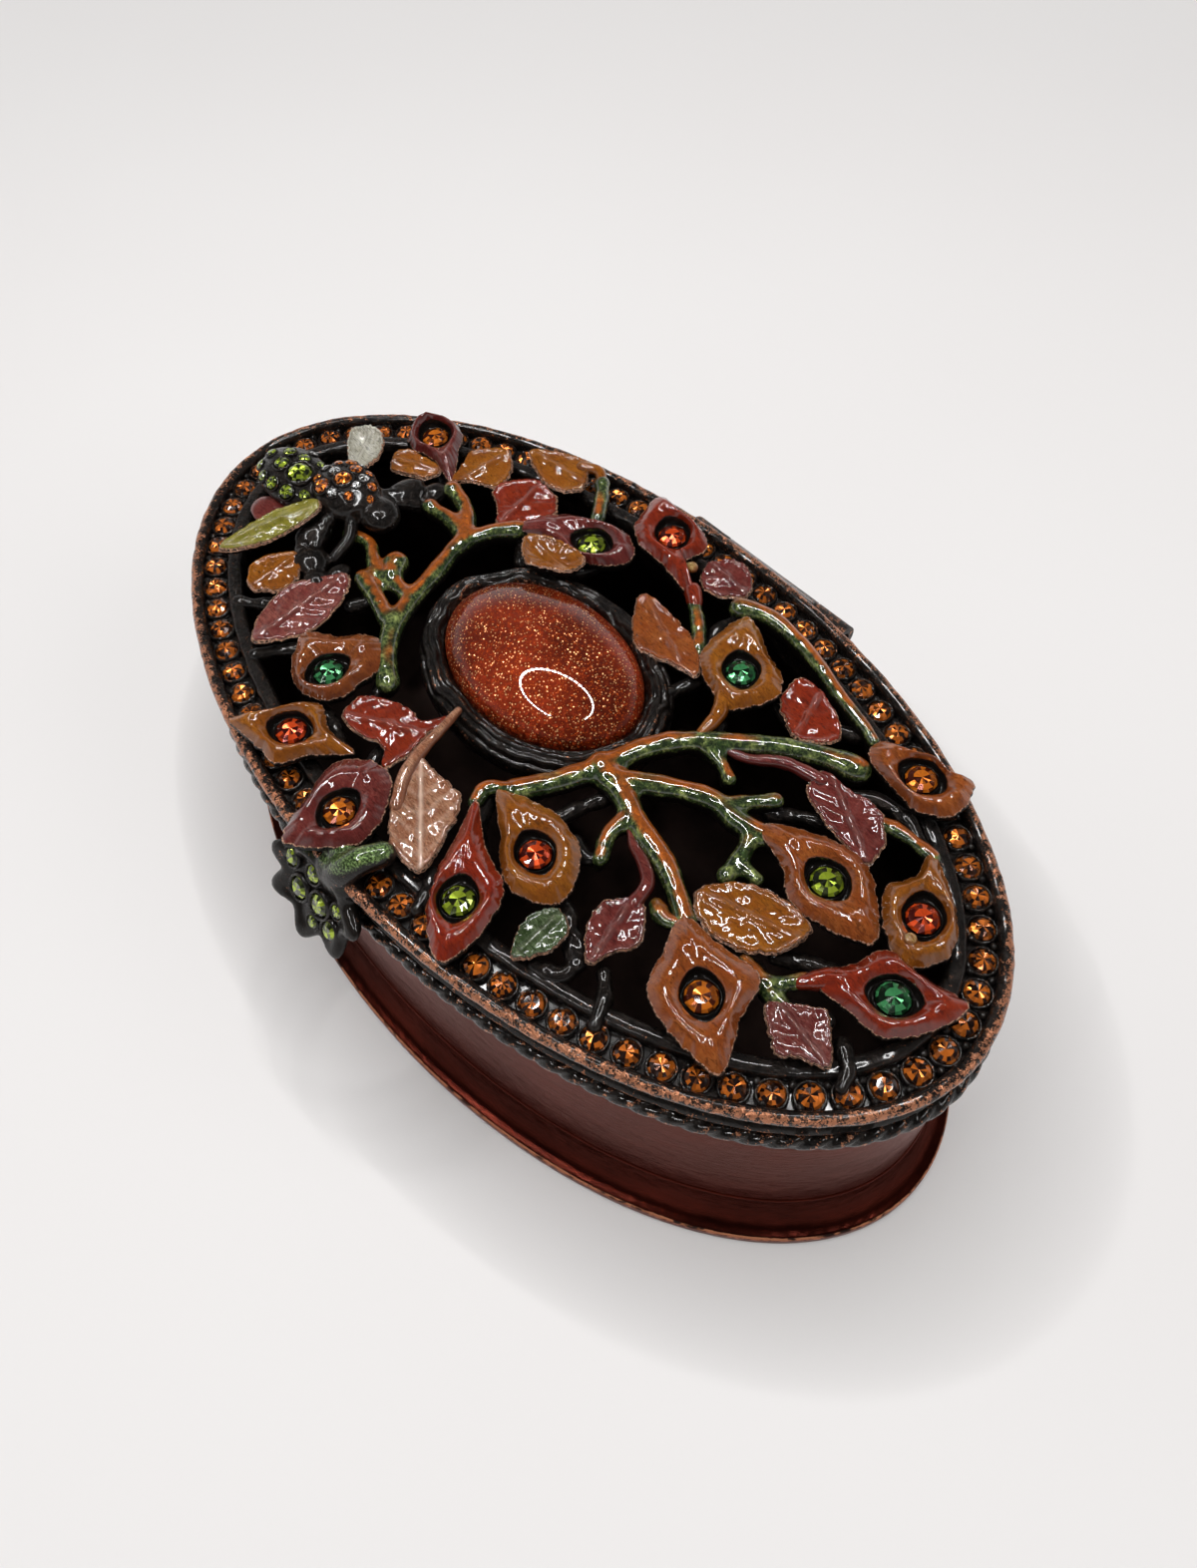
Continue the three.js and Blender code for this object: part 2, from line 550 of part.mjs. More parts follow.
/** Base: a cast oval case with a flared foot and a lip inside its rim. */
function baseShell() {
  const innerOut = WALL_OUT - WALL_THICKNESS;
  const lipOut = -SEATING_GAP;
  const lipIn = lipOut - LIP_THICKNESS;
  const coveWidth = FOOT_OUT - FOOT_CHAMFER - WALL_OUT;
  const cove = Array.from({ length: COVE_STEPS + 1 }, (_, step) => {
    const angle = (step / COVE_STEPS) * (Math.PI / 2);
    return [
      WALL_OUT + coveWidth * (1 - Math.sin(angle)),
      FOOT_EDGE_HEIGHT + COVE_HEIGHT * (1 - Math.cos(angle)),
    ];
  });
  return skin(borderRings([
    [FOOT_OUT - FOOT_CHAMFER, 0],
    [FOOT_OUT, FOOT_CHAMFER],
    [FOOT_OUT, FOOT_EDGE_HEIGHT - FOOT_CHAMFER],
    ...cove,
    [WALL_OUT, BASE_HEIGHT],
    [lipOut, BASE_HEIGHT],
    [lipOut, BASE_HEIGHT + LIP_HEIGHT],
    [lipIn, BASE_HEIGHT + LIP_HEIGHT],
    [lipIn, BASE_HEIGHT - SHOULDER_DROP],
    [innerOut, BASE_HEIGHT - SHOULDER_DROP - LIP_THICKNESS],
    [innerOut, FLOOR_THICKNESS + FLOOR_FILLET],
    [innerOut - FLOOR_FILLET, FLOOR_THICKNESS],
  ]));
}

/** Lid: side wall, rope moulding, ridge, band, bead, crystal channel and inner ring. */
function lidRing() {
  const bandOut = LID_WALL_THICKNESS;
  const ringOut = -CHANNEL_HALF_WIDTH;
  const ringIn = ringOut - INNER_RING_WIDTH;
  const ringTop = BEAD_TOP - INNER_RING_DROP;
  const underside = CHANNEL_Z - CHANNEL_FLOOR_THICKNESS;
  return skin(borderRings([
    [0, LID_BOTTOM],
    ...arc(ROPE_OUT, ROPE_CENTRE_Z, ROPE_RADIUS, ROPE_ARC_DEGREES),
    [bandOut + RIDGE_PROUD / 2, RIDGE_Z],
    [bandOut + RIDGE_PROUD, RIDGE_Z + RIDGE_HEIGHT / 2],
    [bandOut + RIDGE_PROUD / 2, BAND_Z],
    [bandOut, BAND_Z + BAND_HEIGHT / 2],
    ...arc(BEAD_OUT, BEAD_CENTRE_Z, BEAD_RADIUS, BEAD_ARC_DEGREES),
    [CHANNEL_HALF_WIDTH, CHANNEL_Z],
    [ringOut, CHANNEL_Z],
    [ringOut - INNER_RING_WIDTH / 4, ringTop],
    [ringIn + INNER_RING_WIDTH / 4, ringTop],
    [ringIn, CHANNEL_Z],
    [ringIn, underside],
    [ringOut / 2, underside - LID_WALL_THICKNESS / 2],
    [0, underside - LID_WALL_THICKNESS],
  ]), true);
}

/** A hinge barrel along X with its arm, drawn in the YZ plane, and bored for the pin. */
function knuckle(from, to, armOutline) {
  const length = to - from;
  const barrel = new THREE.CylinderGeometry(BARREL_RADIUS, BARREL_RADIUS, length, BARREL_SIDES);
  barrel.rotateZ(Math.PI / 2).translate((from + to) / 2, HINGE_Y, HINGE_Z);
  const shape = new THREE.Shape(armOutline.map(([y, z]) => new THREE.Vector2(y, z)));
  const arm = new THREE.ExtrudeGeometry(shape, { depth: length, bevelEnabled: false });
  arm.applyMatrix4(new THREE.Matrix4().set(0, 0, 1, from, 1, 0, 0, 0, 0, 1, 0, 0, 0, 0, 0, 1));
  const bore = hingeRod(BORE_RADIUS, HINGE_HALF_LENGTH + CUT_OVERRUN);
  return toSolid(barrel).add(toSolid(arm)).subtract(bore);
}

/** A rod on the hinge axis. */
function hingeRod(radius, halfLength) {
  const rod = new THREE.CylinderGeometry(radius, radius, halfLength * 2, PIN_SIDES);
  rod.rotateZ(Math.PI / 2).translate(0, HINGE_Y, HINGE_Z);
  return toSolid(rod);
}

/** A corner of an arm, from its shares of the barrel's radius. */
function byBarrel([back, up]) {
  return [HINGE_Y + BARREL_RADIUS * back, HINGE_Z + BARREL_RADIUS * up];
}

/** Two end knuckles on a strip behind the base's wall. */
function baseKnuckles() {
  const wallY = BORDER_HALF_WIDTH;
  const armTop = BASE_HEIGHT - SEATING_GAP;
  const armBottom = BASE_HEIGHT - HINGE_ARM_DEPTH;
  const arm = [
    [wallY, armBottom], [wallY + WALL_OUT + HINGE_STRIP_THICKNESS, armBottom],
    ...BASE_ARM_SHARES.map(byBarrel),
    [HINGE_Y - BARREL_RADIUS * BASE_ARM_TOP_SHARE, armTop], [wallY, armTop],
  ];
  const inner = MIDDLE_KNUCKLE_HALF_LENGTH + SEATING_GAP;
  const strip = new THREE.BoxGeometry(
    HINGE_HALF_LENGTH * 2,
    WALL_OUT + HINGE_STRIP_THICKNESS,
    HINGE_STRIP_HEIGHT,
  );
  strip.translate(0, wallY + (WALL_OUT + HINGE_STRIP_THICKNESS) / 2, armBottom + HINGE_STRIP_HEIGHT / 2);
  return knuckle(inner, HINGE_HALF_LENGTH, arm)
    .add(knuckle(-HINGE_HALF_LENGTH, -inner, arm))
    .add(toSolid(strip))
    .subtract(wallPlug(WALL_OUT, 0, BASE_HEIGHT));
}

/** The lid with its middle knuckle, whose arm comes off the band above the rope. */
function lidFrame() {
  const root = BORDER_HALF_WIDTH + LID_WALL_THICKNESS / 2;
  const arm = [
    [root, RIDGE_Z + SEATING_GAP],
    ...LID_ARM_SHARES.map(byBarrel),
    [HINGE_Y - BARREL_RADIUS / 2, BAND_Z + BAND_HEIGHT / 4], [root, BAND_Z + BAND_HEIGHT / 2],
  ];
  return lidRing().add(knuckle(-MIDDLE_KNUCKLE_HALF_LENGTH, MIDDLE_KNUCKLE_HALF_LENGTH, arm));
}

/** A cut stone on Z, turned from a profile of [radius, height] pairs between its flat ends. */
function cutStone(profile, sides) {
  const bottom = [0, profile[0][1]];
  const top = [0, profile[profile.length - 1][1]];
  const points = [bottom, ...profile, top].map(([reach, height]) => new THREE.Vector2(reach, height));
  return new THREE.LatheGeometry(points, sides).rotateX(Math.PI / 2);
}

/** The crystals of the border, set at an even pitch on a thin bed in the channel. */
function borderCrystals() {
  const oval = new THREE.EllipseCurve(0, 0, BORDER_HALF_LENGTH, BORDER_HALF_WIDTH);
  oval.arcLengthDivisions = ARC_DIVISIONS;
  const count = Math.round(oval.getLength() / CRYSTAL_PITCH);
  const bed = skin(borderRings([
    [-CRYSTAL_BED_HALF_WIDTH, CHANNEL_Z], [CRYSTAL_BED_HALF_WIDTH, CHANNEL_Z],
    [CRYSTAL_BED_HALF_WIDTH, CHANNEL_Z + CRYSTAL_BED_THICKNESS],
    [-CRYSTAL_BED_HALF_WIDTH, CHANNEL_Z + CRYSTAL_BED_THICKNESS],
  ]), true);
  const cut = cutStone([
    [CRYSTAL_RADIUS, CRYSTAL_BED_THICKNESS / 2], [CRYSTAL_TABLE_RADIUS, CRYSTAL_RISE],
  ], CRYSTAL_SIDES);
  const stones = oval.getSpacedPoints(count).slice(0, count).map(({ x, y }) => (
    toSolid(cut.clone().translate(x, y, CHANNEL_Z))
  ));
  return wasm.Manifold.union([bed, ...stones]);
}

/** Centre of the cabochon on the lid. */
function cabochonCentre() {
  return place(CABOCHON_CENTRE_SHARES, 0);
}

/** The domed oval stone, grown where it keeps others clear. */
function cabochon(grow = 0) {
  const dome = Array.from({ length: DOME_STEPS }, (_, step) => {
    const angle = (step / DOME_STEPS) * (Math.PI / 2);
    const height = CABOCHON_Z + CABOCHON_GIRDLE + (CABOCHON_HEIGHT - CABOCHON_GIRDLE) * Math.sin(angle);
    return ovalRing(
      CABOCHON_HALF_LENGTH * Math.cos(angle), CABOCHON_HALF_WIDTH * Math.cos(angle),
      grow, height + grow, BEZEL_STEPS, cabochonCentre(),
    );
  });
  const foot = ovalRing(
    CABOCHON_HALF_LENGTH, CABOCHON_HALF_WIDTH, grow, CABOCHON_Z - grow, BEZEL_STEPS, cabochonCentre(),
  );
  return skin([foot, ...dome]);
}

/** The bark-like ring that holds the cabochon on an inner ledge. */
function bezel() {
  const profile = [
    [-BEZEL_SEAT_LEDGE, CABOCHON_Z], [SEATING_GAP, CABOCHON_Z],
    [SEATING_GAP, CABOCHON_Z + BEZEL_LIP_HEIGHT],
    [BEZEL_WIDTH * BEZEL_CREST_SHARE, CABOCHON_Z + BEZEL_CREST_HEIGHT],
    [BEZEL_WIDTH * BEZEL_SHOULDER_SHARE, CABOCHON_Z + BEZEL_LIP_HEIGHT],
    [BEZEL_WIDTH, CABOCHON_Z + BEZEL_LIP_HEIGHT - BEZEL_DROP],
    [BEZEL_WIDTH, CABOCHON_Z - BEZEL_SEAT_THICKNESS],
    [-BEZEL_SEAT_LEDGE, CABOCHON_Z - BEZEL_SEAT_THICKNESS],
  ];
  return skin(profile.map(([out, height]) => ovalRing(
    CABOCHON_HALF_LENGTH, CABOCHON_HALF_WIDTH, out, height, BEZEL_STEPS, cabochonCentre(),
  )), true);
}

/** The space of the bezel and cabochon together, grown by the seating gap. */
function bezelSpace() {
  const levels = [
    [BEZEL_WIDTH + SEATING_GAP, CABOCHON_Z - BEZEL_SEAT_THICKNESS - SEATING_GAP],
    [BEZEL_WIDTH + SEATING_GAP, CABOCHON_Z + BEZEL_LIP_HEIGHT - BEZEL_DROP + SEATING_GAP],
    [BEZEL_WIDTH / 2, CABOCHON_Z + BEZEL_CREST_HEIGHT + SEATING_GAP],
    [-CABOCHON_HALF_WIDTH / 3, CABOCHON_Z + CABOCHON_HEIGHT - CABOCHON_GIRDLE / 3],
    [-CABOCHON_HALF_WIDTH / 2, CABOCHON_Z + CABOCHON_HEIGHT + SEATING_GAP],
  ];
  return skin(levels.map(([out, height]) => ovalRing(
    CABOCHON_HALF_LENGTH, CABOCHON_HALF_WIDTH, out, height, BEZEL_STEPS, cabochonCentre(),
  )));
}

/** A round-ended tube through points, its radius going evenly from the first to the last. */
function tube(points, startRadius, endRadius, sides = BRANCH_SIDES) {
  const curve = new THREE.CatmullRomCurve3(points, false, 'centripetal');
  const steps = Math.ceil((points.length - 1) * RUN_STEPS_PER_POINT);
  const frames = curve.computeFrenetFrames(steps, false);
  const ring = (step, along, scale) => {
    const share = step / steps;
    const radius = startRadius + (endRadius - startRadius) * share;
    const centre = curve.getPointAt(share).addScaledVector(frames.tangents[step], along * radius);
    return Array.from({ length: sides }, (_, side) => {
      const angle = (side / sides) * Math.PI * 2;
      return centre.clone()
        .addScaledVector(frames.normals[step], Math.cos(angle) * radius * scale)
        .addScaledVector(frames.binormals[step], Math.sin(angle) * radius * scale);
    });
  };
  const rings = Array.from({ length: steps + 1 }, (_, step) => ring(step, 0, 1));
  return skin([
    ring(0, -ROUND_END_SHARE, ROUND_END_SHARE),
    ...rings,
    ring(steps, ROUND_END_SHARE, ROUND_END_SHARE),
  ]);
}

/** One branch: its runs joined, grown where it is used as a space to keep clear. */
function branch(name, grow = 0) {
  const height = name === 'branch_back' ? BEAD_TOP + BRANCH_BACK_RISE : BRANCH_Z;
  const runs = BRANCH_SHARES[name].map(({ line, thickness: [start, end] }) => tube(
    line.map((point) => place(point, height)),
    BRANCH_RADIUS * start + grow,
    BRANCH_RADIUS * end + grow,
  ));
  return wasm.Manifold.union(runs);
}

/** The edge of a leaf: a smooth closed line through its corners. */
function leafEdge(outline, height) {
  const corners = outline.map((corner) => place(corner, height));
  const line = new THREE.CatmullRomCurve3(corners, true, 'centripetal');
  return line.getPoints(corners.length * EDGE_STEPS_PER_CORNER).slice(0, -1);
}

/**
 * Rings of a leaf round its heart. Each level gives its reach for an edge's radius, its rise, and
 * the fold that raises it along the vein and lowers it beside.
 */
function leafRings(edge, heart, levels) {
  const flat = (point) => new THREE.Vector3(point.x - heart.x, point.y - heart.y, 0);
  const tip = flat(edge[0]).normalize();
  return levels.map(([reach, rise, fold = 0]) => edge.map((point) => {
    const out = flat(point);
    const share = reach(out.length()) / out.length();
    const alongVein = Math.abs(out.clone().normalize().dot(tip));
    const lift = (point.z - heart.z) * share ** 2;
    const height = heart.z + lift + rise + fold * (alongVein - 1 / 2);
    return new THREE.Vector3(heart.x + out.x * share, heart.y + out.y * share, height);
  }));
}

/** The stem that a leaf may have, as a short tube. */
function stem(line, height, thickness, grow) {
  const radius = thickness / 2 + grow;
  return tube(line.map((point) => place(point, height - thickness / 2)), radius, radius);
}

/** A leaf with a raised rim and a round cup for its stone. */
function jewelLeaf({ outline, seat, stem: stemLine }) {
  const heart = place(seat, LEAF_Z);
  const cupInner = STONE_RADIUS + CUP_CLEARANCE;
  const cupCrest = cupInner + CUP_WALL / 2;
  const cupOuter = cupInner + CUP_WALL;
  const rim = (radius) => Math.max(radius - LEAF_RIM_WIDTH, cupOuter + LEAF_RIM_WIDTH / 2);
  const edge = (radius) => Math.max(radius, cupOuter + LEAF_RIM_WIDTH);
  const floorDrop = LEAF_THICKNESS - CUP_FLOOR_THICKNESS;
  const leaf = skin(leafRings(leafEdge(outline, LEAF_Z), heart, [
    [(radius) => edge(radius) - LEAF_UNDERCUT, -LEAF_THICKNESS],
    [edge, -LEAF_THICKNESS / 3],
    [rim, LEAF_RIM_RISE],
    [(radius) => (rim(radius) + cupOuter) / 2, -LEAF_DISH],
    [() => cupCrest, CUP_RISE],
    [() => cupInner, -floorDrop],
  ]));
  return stemLine ? leaf.add(stem(stemLine, LEAF_Z, LEAF_THICKNESS, 0)) : leaf;
}

/** A plain leaf or wing: a raised edge, a sunk blade and a raised vein. */
function blade(outline, height, thickness, fold = LEAF_VEIN_RISE) {
  const edge = leafEdge(outline, height);
  return skin(leafRings(edge, middleOf(edge, height), [
    [(radius) => radius - LEAF_UNDERCUT, -thickness],
    [(radius) => radius, -thickness / 3],
    [(radius) => radius - LEAF_RIM_WIDTH / 2, 0],
    [(radius) => radius / 2, -LEAF_DISH, fold],
  ]));
}

/** Mean point of an edge, at the level of the leaf. */
function middleOf(edge, height) {
  const middle = new THREE.Vector3();
  edge.forEach((point) => middle.add(point));
  return middle.divideScalar(edge.length).setZ(height);
}

/** The space that a leaf fills, grown by the seating gap on every side. */
function leafSpace(outline, heart, height, thickness, stemLine) {
  const edge = leafEdge(outline, height);
  const middle = heart || middleOf(edge, height);
  const grown = (radius) => radius + SEATING_GAP;
  const space = skin(leafRings(edge, middle, [
    [grown, -thickness - SEATING_GAP],
    [grown, LEAF_RIM_RISE + SEATING_GAP],
  ]));
  return stemLine ? space.add(stem(stemLine, height, thickness, SEATING_GAP)) : space;
}

/** A leaf's faceted stone, seated in its cup. */
function leafStone({ seat }) {
  const floor = LEAF_Z - LEAF_THICKNESS + CUP_FLOOR_THICKNESS + SEATING_GAP;
  const girdle = floor + STONE_BACK_DEPTH;
  const centre = place(seat, 0);
  const stone = cutStone([
    [STONE_BACK_RADIUS, floor], [STONE_RADIUS, girdle],
    [STONE_TABLE_RADIUS, girdle + STONE_CROWN_RISE],
  ], STONE_SIDES);
  return toSolid(stone.translate(centre.x, centre.y, 0));
}

/** The insect's body: swellings, legs and set stones, grown where it keeps others clear. */
function insect(grow = 0) {
  const axis = BEAD_TOP + INSECT_RISE;
  const swellings = INSECT_SHARES.swellings.map(({ centre, level, reach }) => {
    const ball = new THREE.SphereGeometry(1, SWELLING_SIDES, SWELLING_RINGS);
    ball.rotateX(Math.PI / 2);
    ball.scale(...reach.map((share) => share * INSECT_HALF_WIDTH + grow));
    const middle = place(centre, axis + level * INSECT_HALF_WIDTH);
    return toSolid(ball.translate(middle.x, middle.y, middle.z));
  });
  const legs = INSECT_SHARES.legs.map((line) => (
    tube(line.map((point) => place(point, axis)), LEG_RADIUS + grow, LEG_RADIUS + grow)
  ));
  if (grow > 0) return wasm.Manifold.union([...swellings, ...legs]);
  const cut = cutStone([
    [INSECT_STONE_RADIUS, -INSECT_STONE_RADIUS], [INSECT_STONE_RADIUS, 0],
    [INSECT_STONE_RADIUS * INSECT_STONE_TABLE_SHARE, INSECT_STONE_RISE],
  ], CRYSTAL_SIDES);
  const stones = INSECT_STONE_SHARES.map((at) => {
    const middle = place(at, axis);
    return toSolid(cut.clone().translate(middle.x, middle.y, middle.z));
  });
  return wasm.Manifold.union([...swellings, ...legs, ...stones]);
}

/** A point of the leaning tab: along it, out in front of the border, and above its middle. */
function tabPoint(along, y, rise) {
  const centreX = (TAB_CENTRE_SHARE * BORDER_HALF_LENGTH) / GRID_COLUMNS;
  return new THREE.Vector3(centreX + along, y + rise * TAB_LEAN_SHARE, BEAD_TOP - TAB_DROP + rise);
}

/** A lobed oval of points round the tab. */
function tabRing(y, scale) {
  return Array.from({ length: TAB_STEPS }, (_, step) => {
    const angle = (step / TAB_STEPS) * Math.PI * 2;
    const reach = scale * (1 + TAB_LOBE_SHARE * Math.cos(TAB_LOBES * angle - Math.PI / 2));
    return tabPoint(
      TAB_HALF_WIDTH * reach * Math.cos(angle), y, TAB_HALF_HEIGHT * reach * Math.sin(angle),
    );
  });
}

/** The thumb tab: a lobed plaque with crystals in its face, on a neck over the bead. */
function thumbTab() {
  const middleY = -BORDER_HALF_WIDTH - TAB_OUT;
  const back = middleY + TAB_THICKNESS / 2;
  const front = middleY - TAB_THICKNESS / 2;
  const plaque = skin([
    tabRing(back, TAB_BACK_SHARE),
    tabRing(middleY, TAB_MIDDLE_SHARE),
    tabRing(front + TAB_RECESS / 2, 1),
    tabRing(front, TAB_EDGE_SHARE),
    tabRing(front + TAB_RECESS, TAB_FLOOR_SHARE),
  ]);
  const cut = cutStone([
    [CRYSTAL_RADIUS, -TAB_RECESS], [CRYSTAL_RADIUS, 0], [CRYSTAL_TABLE_RADIUS, TAB_RECESS],
  ], CRYSTAL_SIDES).rotateX(Math.PI / 2);
  const stones = Array.from({ length: TAB_CRYSTALS }, (_, step) => {
    const share = (step - (TAB_CRYSTALS - 1) / 2) / TAB_CRYSTALS;
    const stagger = TAB_HALF_HEIGHT * TAB_CRYSTAL_STAGGER_SHARE * (step % 2 === 0 ? 1 : -1);
    const seat = tabPoint(
      share * TAB_HALF_WIDTH * TAB_CRYSTAL_SPREAD_SHARE, front + TAB_RECESS / 2, stagger,
    );
    return toSolid(cut.clone().translate(seat.x, seat.y, seat.z));
  });
  const overBead = TAB_DROP + SEATING_GAP + TAB_NECK_RADIUS;
  const leanOut = overBead * TAB_LEAN_SHARE;
  const neck = tube([
    [TAB_NECK_START_SHARE, -BORDER_HALF_WIDTH + CHANNEL_HALF_WIDTH - leanOut, overBead],
    [TAB_NECK_CROSS_SHARE, -BORDER_HALF_WIDTH - BEAD_OUT - leanOut, overBead],
    [TAB_NECK_BEND_SHARE, middleY, TAB_DROP],
    [0, middleY, 0],
  ].map(([share, y, rise]) => tabPoint(TAB_HALF_WIDTH * share, y, rise)),
  TAB_NECK_RADIUS * TAB_NECK_TAPER_SHARE, TAB_HALF_HEIGHT * TAB_FLARE_SHARE, TAB_NECK_SIDES);
  const rim = wallPlug(ROPE_OUT + ROPE_RADIUS, 0, BEAD_TOP + SEATING_GAP);
  return wasm.Manifold.union([plaque, neck, ...stones]).subtract(rim);
}

/** The largest body of a solid that a cut may have left in several. */
function mainBody(solid) {
  return solid.decompose().reduce((best, body) => (body.volume() > best.volume() ? body : best));
}

const box = new THREE.Group();
const lid = new THREE.Group();
const base = new THREE.Group();
box.add(base, lid);

const castBlack = finish(BLACK_METAL, CAST_FINISH);
const hingePin = hingeRod(PIN_RADIUS, HINGE_HALF_LENGTH + PIN_END_PROUD);
base.add(
  toMesh('base_shell', baseShell(), finish(BODY_ENAMEL, BODY_FINISH)),
  toMesh('base_hinge_knuckles', baseKnuckles(), finish(RUBBED_COPPER, COPPER_FINISH)),
  toMesh('hinge_pin', hingePin, finish(RUBBED_COPPER, COPPER_FINISH)),
);

// What is placed later is cut by the spaces of what is placed before it
const spaces = [];
const cutBy = (solid, clear) => mainBody(clear.reduce((left, space) => left.subtract(space), solid));

lid.add(
  toMesh('lid_frame', lidFrame(), castBlack),
  toMesh('border_crystals', borderCrystals(), finish(AMBER, GLASS_FINISH)),
  toMesh('cabochon', cabochon(), finish(AVENTURINE, GLASS_FINISH)),
);
lid.add(toMesh('insect_body', insect(), castBlack));
const insectSpace = insect(SEATING_GAP);
spaces.push(insectSpace);

const branchSpaces = Object.keys(BRANCH_SHARES).map((name) => {
  const solid = cutBy(branch(name), [insectSpace, cabochon(SEATING_GAP)]);
  lid.add(toMesh(name, solid, finish(ENAMEL.green, LEAF_FINISH)));
  return branch(name, SEATING_GAP);
});
lid.add(toMesh('cabochon_bezel', cutBy(bezel(), branchSpaces), castBlack));
spaces.push(...branchSpaces, bezelSpace());

for (const [name, row] of Object.entries(JEWEL_LEAF_SHARES)) {
  const colour = ENAMEL[name.split('_')[0]];
  const leaf = cutBy(jewelLeaf(row), spaces);
  lid.add(toMesh(`jewel_leaf_${name}`, leaf, finish(colour, LEAF_FINISH)));
  lid.add(toMesh(`stone_${name}`, leafStone(row), finish(STONE_COLOUR[name], GLASS_FINISH)));
  spaces.push(leafSpace(row.outline, place(row.seat, LEAF_Z), LEAF_Z, LEAF_THICKNESS, row.stem));
}

const thumbPiece = cutBy(thumbTab(), spaces);
lid.add(toMesh('thumb_tab', thumbPiece, castBlack));
spaces.push(thumbPiece);

for (const [name, row] of Object.entries(PLAIN_LEAF_SHARES)) {
  const colour = ENAMEL[name.split('_')[1]];
  const height = PLAIN_LEAF_Z + (row.level || 0) * CORNER_LIFT;
  const plain = blade(row.outline, height, PLAIN_LEAF_THICKNESS);
  const whole = row.stem ? plain.add(stem(row.stem, height, PLAIN_LEAF_THICKNESS, 0)) : plain;
  lid.add(toMesh(name, cutBy(whole, spaces), finish(colour, LEAF_FINISH)));
  spaces.push(leafSpace(row.outline, null, height, PLAIN_LEAF_THICKNESS, row.stem));
}

for (const [name, row] of Object.entries(WING_SHARES)) {
  const colour = name === 'insect_wing_front' ? WING_YELLOW : WING_PALE;
  const wing = blade(row.outline, BEAD_TOP + WING_RISE, WING_THICKNESS, 0);
  lid.add(toMesh(name, cutBy(wing, spaces), finish(colour, WING_FINISH)));
}

export default box;
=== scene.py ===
"""Looks of the enamel trinket box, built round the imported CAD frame.

Working lengths in the modelling code are millimetres; loft() turns them into metres.
The leaves, branches and crystals sit on the same grid of columns and rows as the CAD model.
"""
import math

import bpy
from mathutils import Matrix, Vector, noise


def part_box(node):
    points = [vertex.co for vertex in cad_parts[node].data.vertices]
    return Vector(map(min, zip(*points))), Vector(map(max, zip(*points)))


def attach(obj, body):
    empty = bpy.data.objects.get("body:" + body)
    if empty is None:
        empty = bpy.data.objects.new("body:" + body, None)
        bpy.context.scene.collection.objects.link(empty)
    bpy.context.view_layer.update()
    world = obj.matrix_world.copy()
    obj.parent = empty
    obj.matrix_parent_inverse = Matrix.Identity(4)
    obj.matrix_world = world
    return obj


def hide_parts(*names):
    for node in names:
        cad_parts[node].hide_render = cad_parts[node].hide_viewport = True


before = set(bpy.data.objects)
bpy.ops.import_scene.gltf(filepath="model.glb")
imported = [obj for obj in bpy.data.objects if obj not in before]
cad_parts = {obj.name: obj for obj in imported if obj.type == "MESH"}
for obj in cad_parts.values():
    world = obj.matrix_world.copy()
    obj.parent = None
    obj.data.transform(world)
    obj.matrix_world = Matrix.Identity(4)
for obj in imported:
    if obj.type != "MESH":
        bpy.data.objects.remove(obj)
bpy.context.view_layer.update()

bl_info = {
    "name": "Enamel trinket box",
    "version": (1, 0, 0),
    "blender": (4, 5, 0),
    "location": "View3D > Sidebar > Trinket box",
    "description": "Builds the looks of an oval enamel trinket box with a jewelled, pierced lid",
    "category": "Add Mesh",
}

TAU = math.tau
MILLIMETRE = 0.001
PER_METRE = 1000.0

# Plan of the box and its levels, in millimetres. Levels are heights above the table; a
# place or a length that ends in OUT is measured outwards from the crystals' oval.
HALF_LENGTH = 50.0
HALF_WIDTH = 25.7
ROW_PITCH = HALF_WIDTH / 26
CASE_TOP = 29.3
LID_BOTTOM = 29.6
ROPE_LEVEL = 30.45
RIDGE_LEVEL = 31.3
BAND_LEVEL = 32.0
BEAD_LEVEL = 35.875
CHANNEL_LEVEL = 35.025
LEAF_LEVEL = 38.325
PLAIN_LEVEL = 38.125
BRANCH_LEVEL = 37.425
BACK_BRANCH_LEVEL = 37.925
STONE_FLOOR = 37.525
INSECT_LEVEL = 39.2
WING_LEVEL = 40.325
CABOCHON_PLACE = (-3.6, 1.58)
CABOCHON_HALF = (12.25, 8.4)
CABOCHON_LEVEL = 35.325
DOME_RISE = 4.3
ROPE_OUT = 2.2
BEAD_OUT = 2.02
GRAIN_OUT = 0.98
KNUCKLE_RADIUS = 1.8
KNUCKLE_HALF = 6.8
TAB_PLACE = (-0.6, -29.6, 32.325)
TAB_HALF = (6.4, 4.1)
TAB_LEAN = 0.55

# Points round or along the forms
OVAL_STEPS = 192
LID_STEPS = 288
ROPE_STEPS = 1080
BEZEL_STEPS = 300
DOME_STEPS = 160
TAB_STEPS = 140
LEAF_STEPS = 144
STEM_STEPS = 26
NECK_STEPS = 46
FACETS = 16

# Points closer than this, in metres, are merged
MERGED_WITHIN = 0.000001
# Start of the random draws for the stones' sparkle
GLINT_SEED = 3
# Where a jewelled leaf's band is highest, from its hollow at 0 to its edge at 1
CREST_AT = 0.4

# Lamps: place and side in metres, and power in watts
LAMPS = (
    ("overhead", (-0.15, -0.1, 0.95), 0.9, 0.5),
    ("from_right", (0.95, 0.35, 0.75), 0.8, 3.0),
    ("from_left", (-0.9, -0.5, 0.6), 0.7, 0.8),
)
RING_LAMPS = 40
RING_MIDDLE = (-0.012, -0.055, 0.5)
RING_RADIUS = 0.197
RING_POWER = 0.064

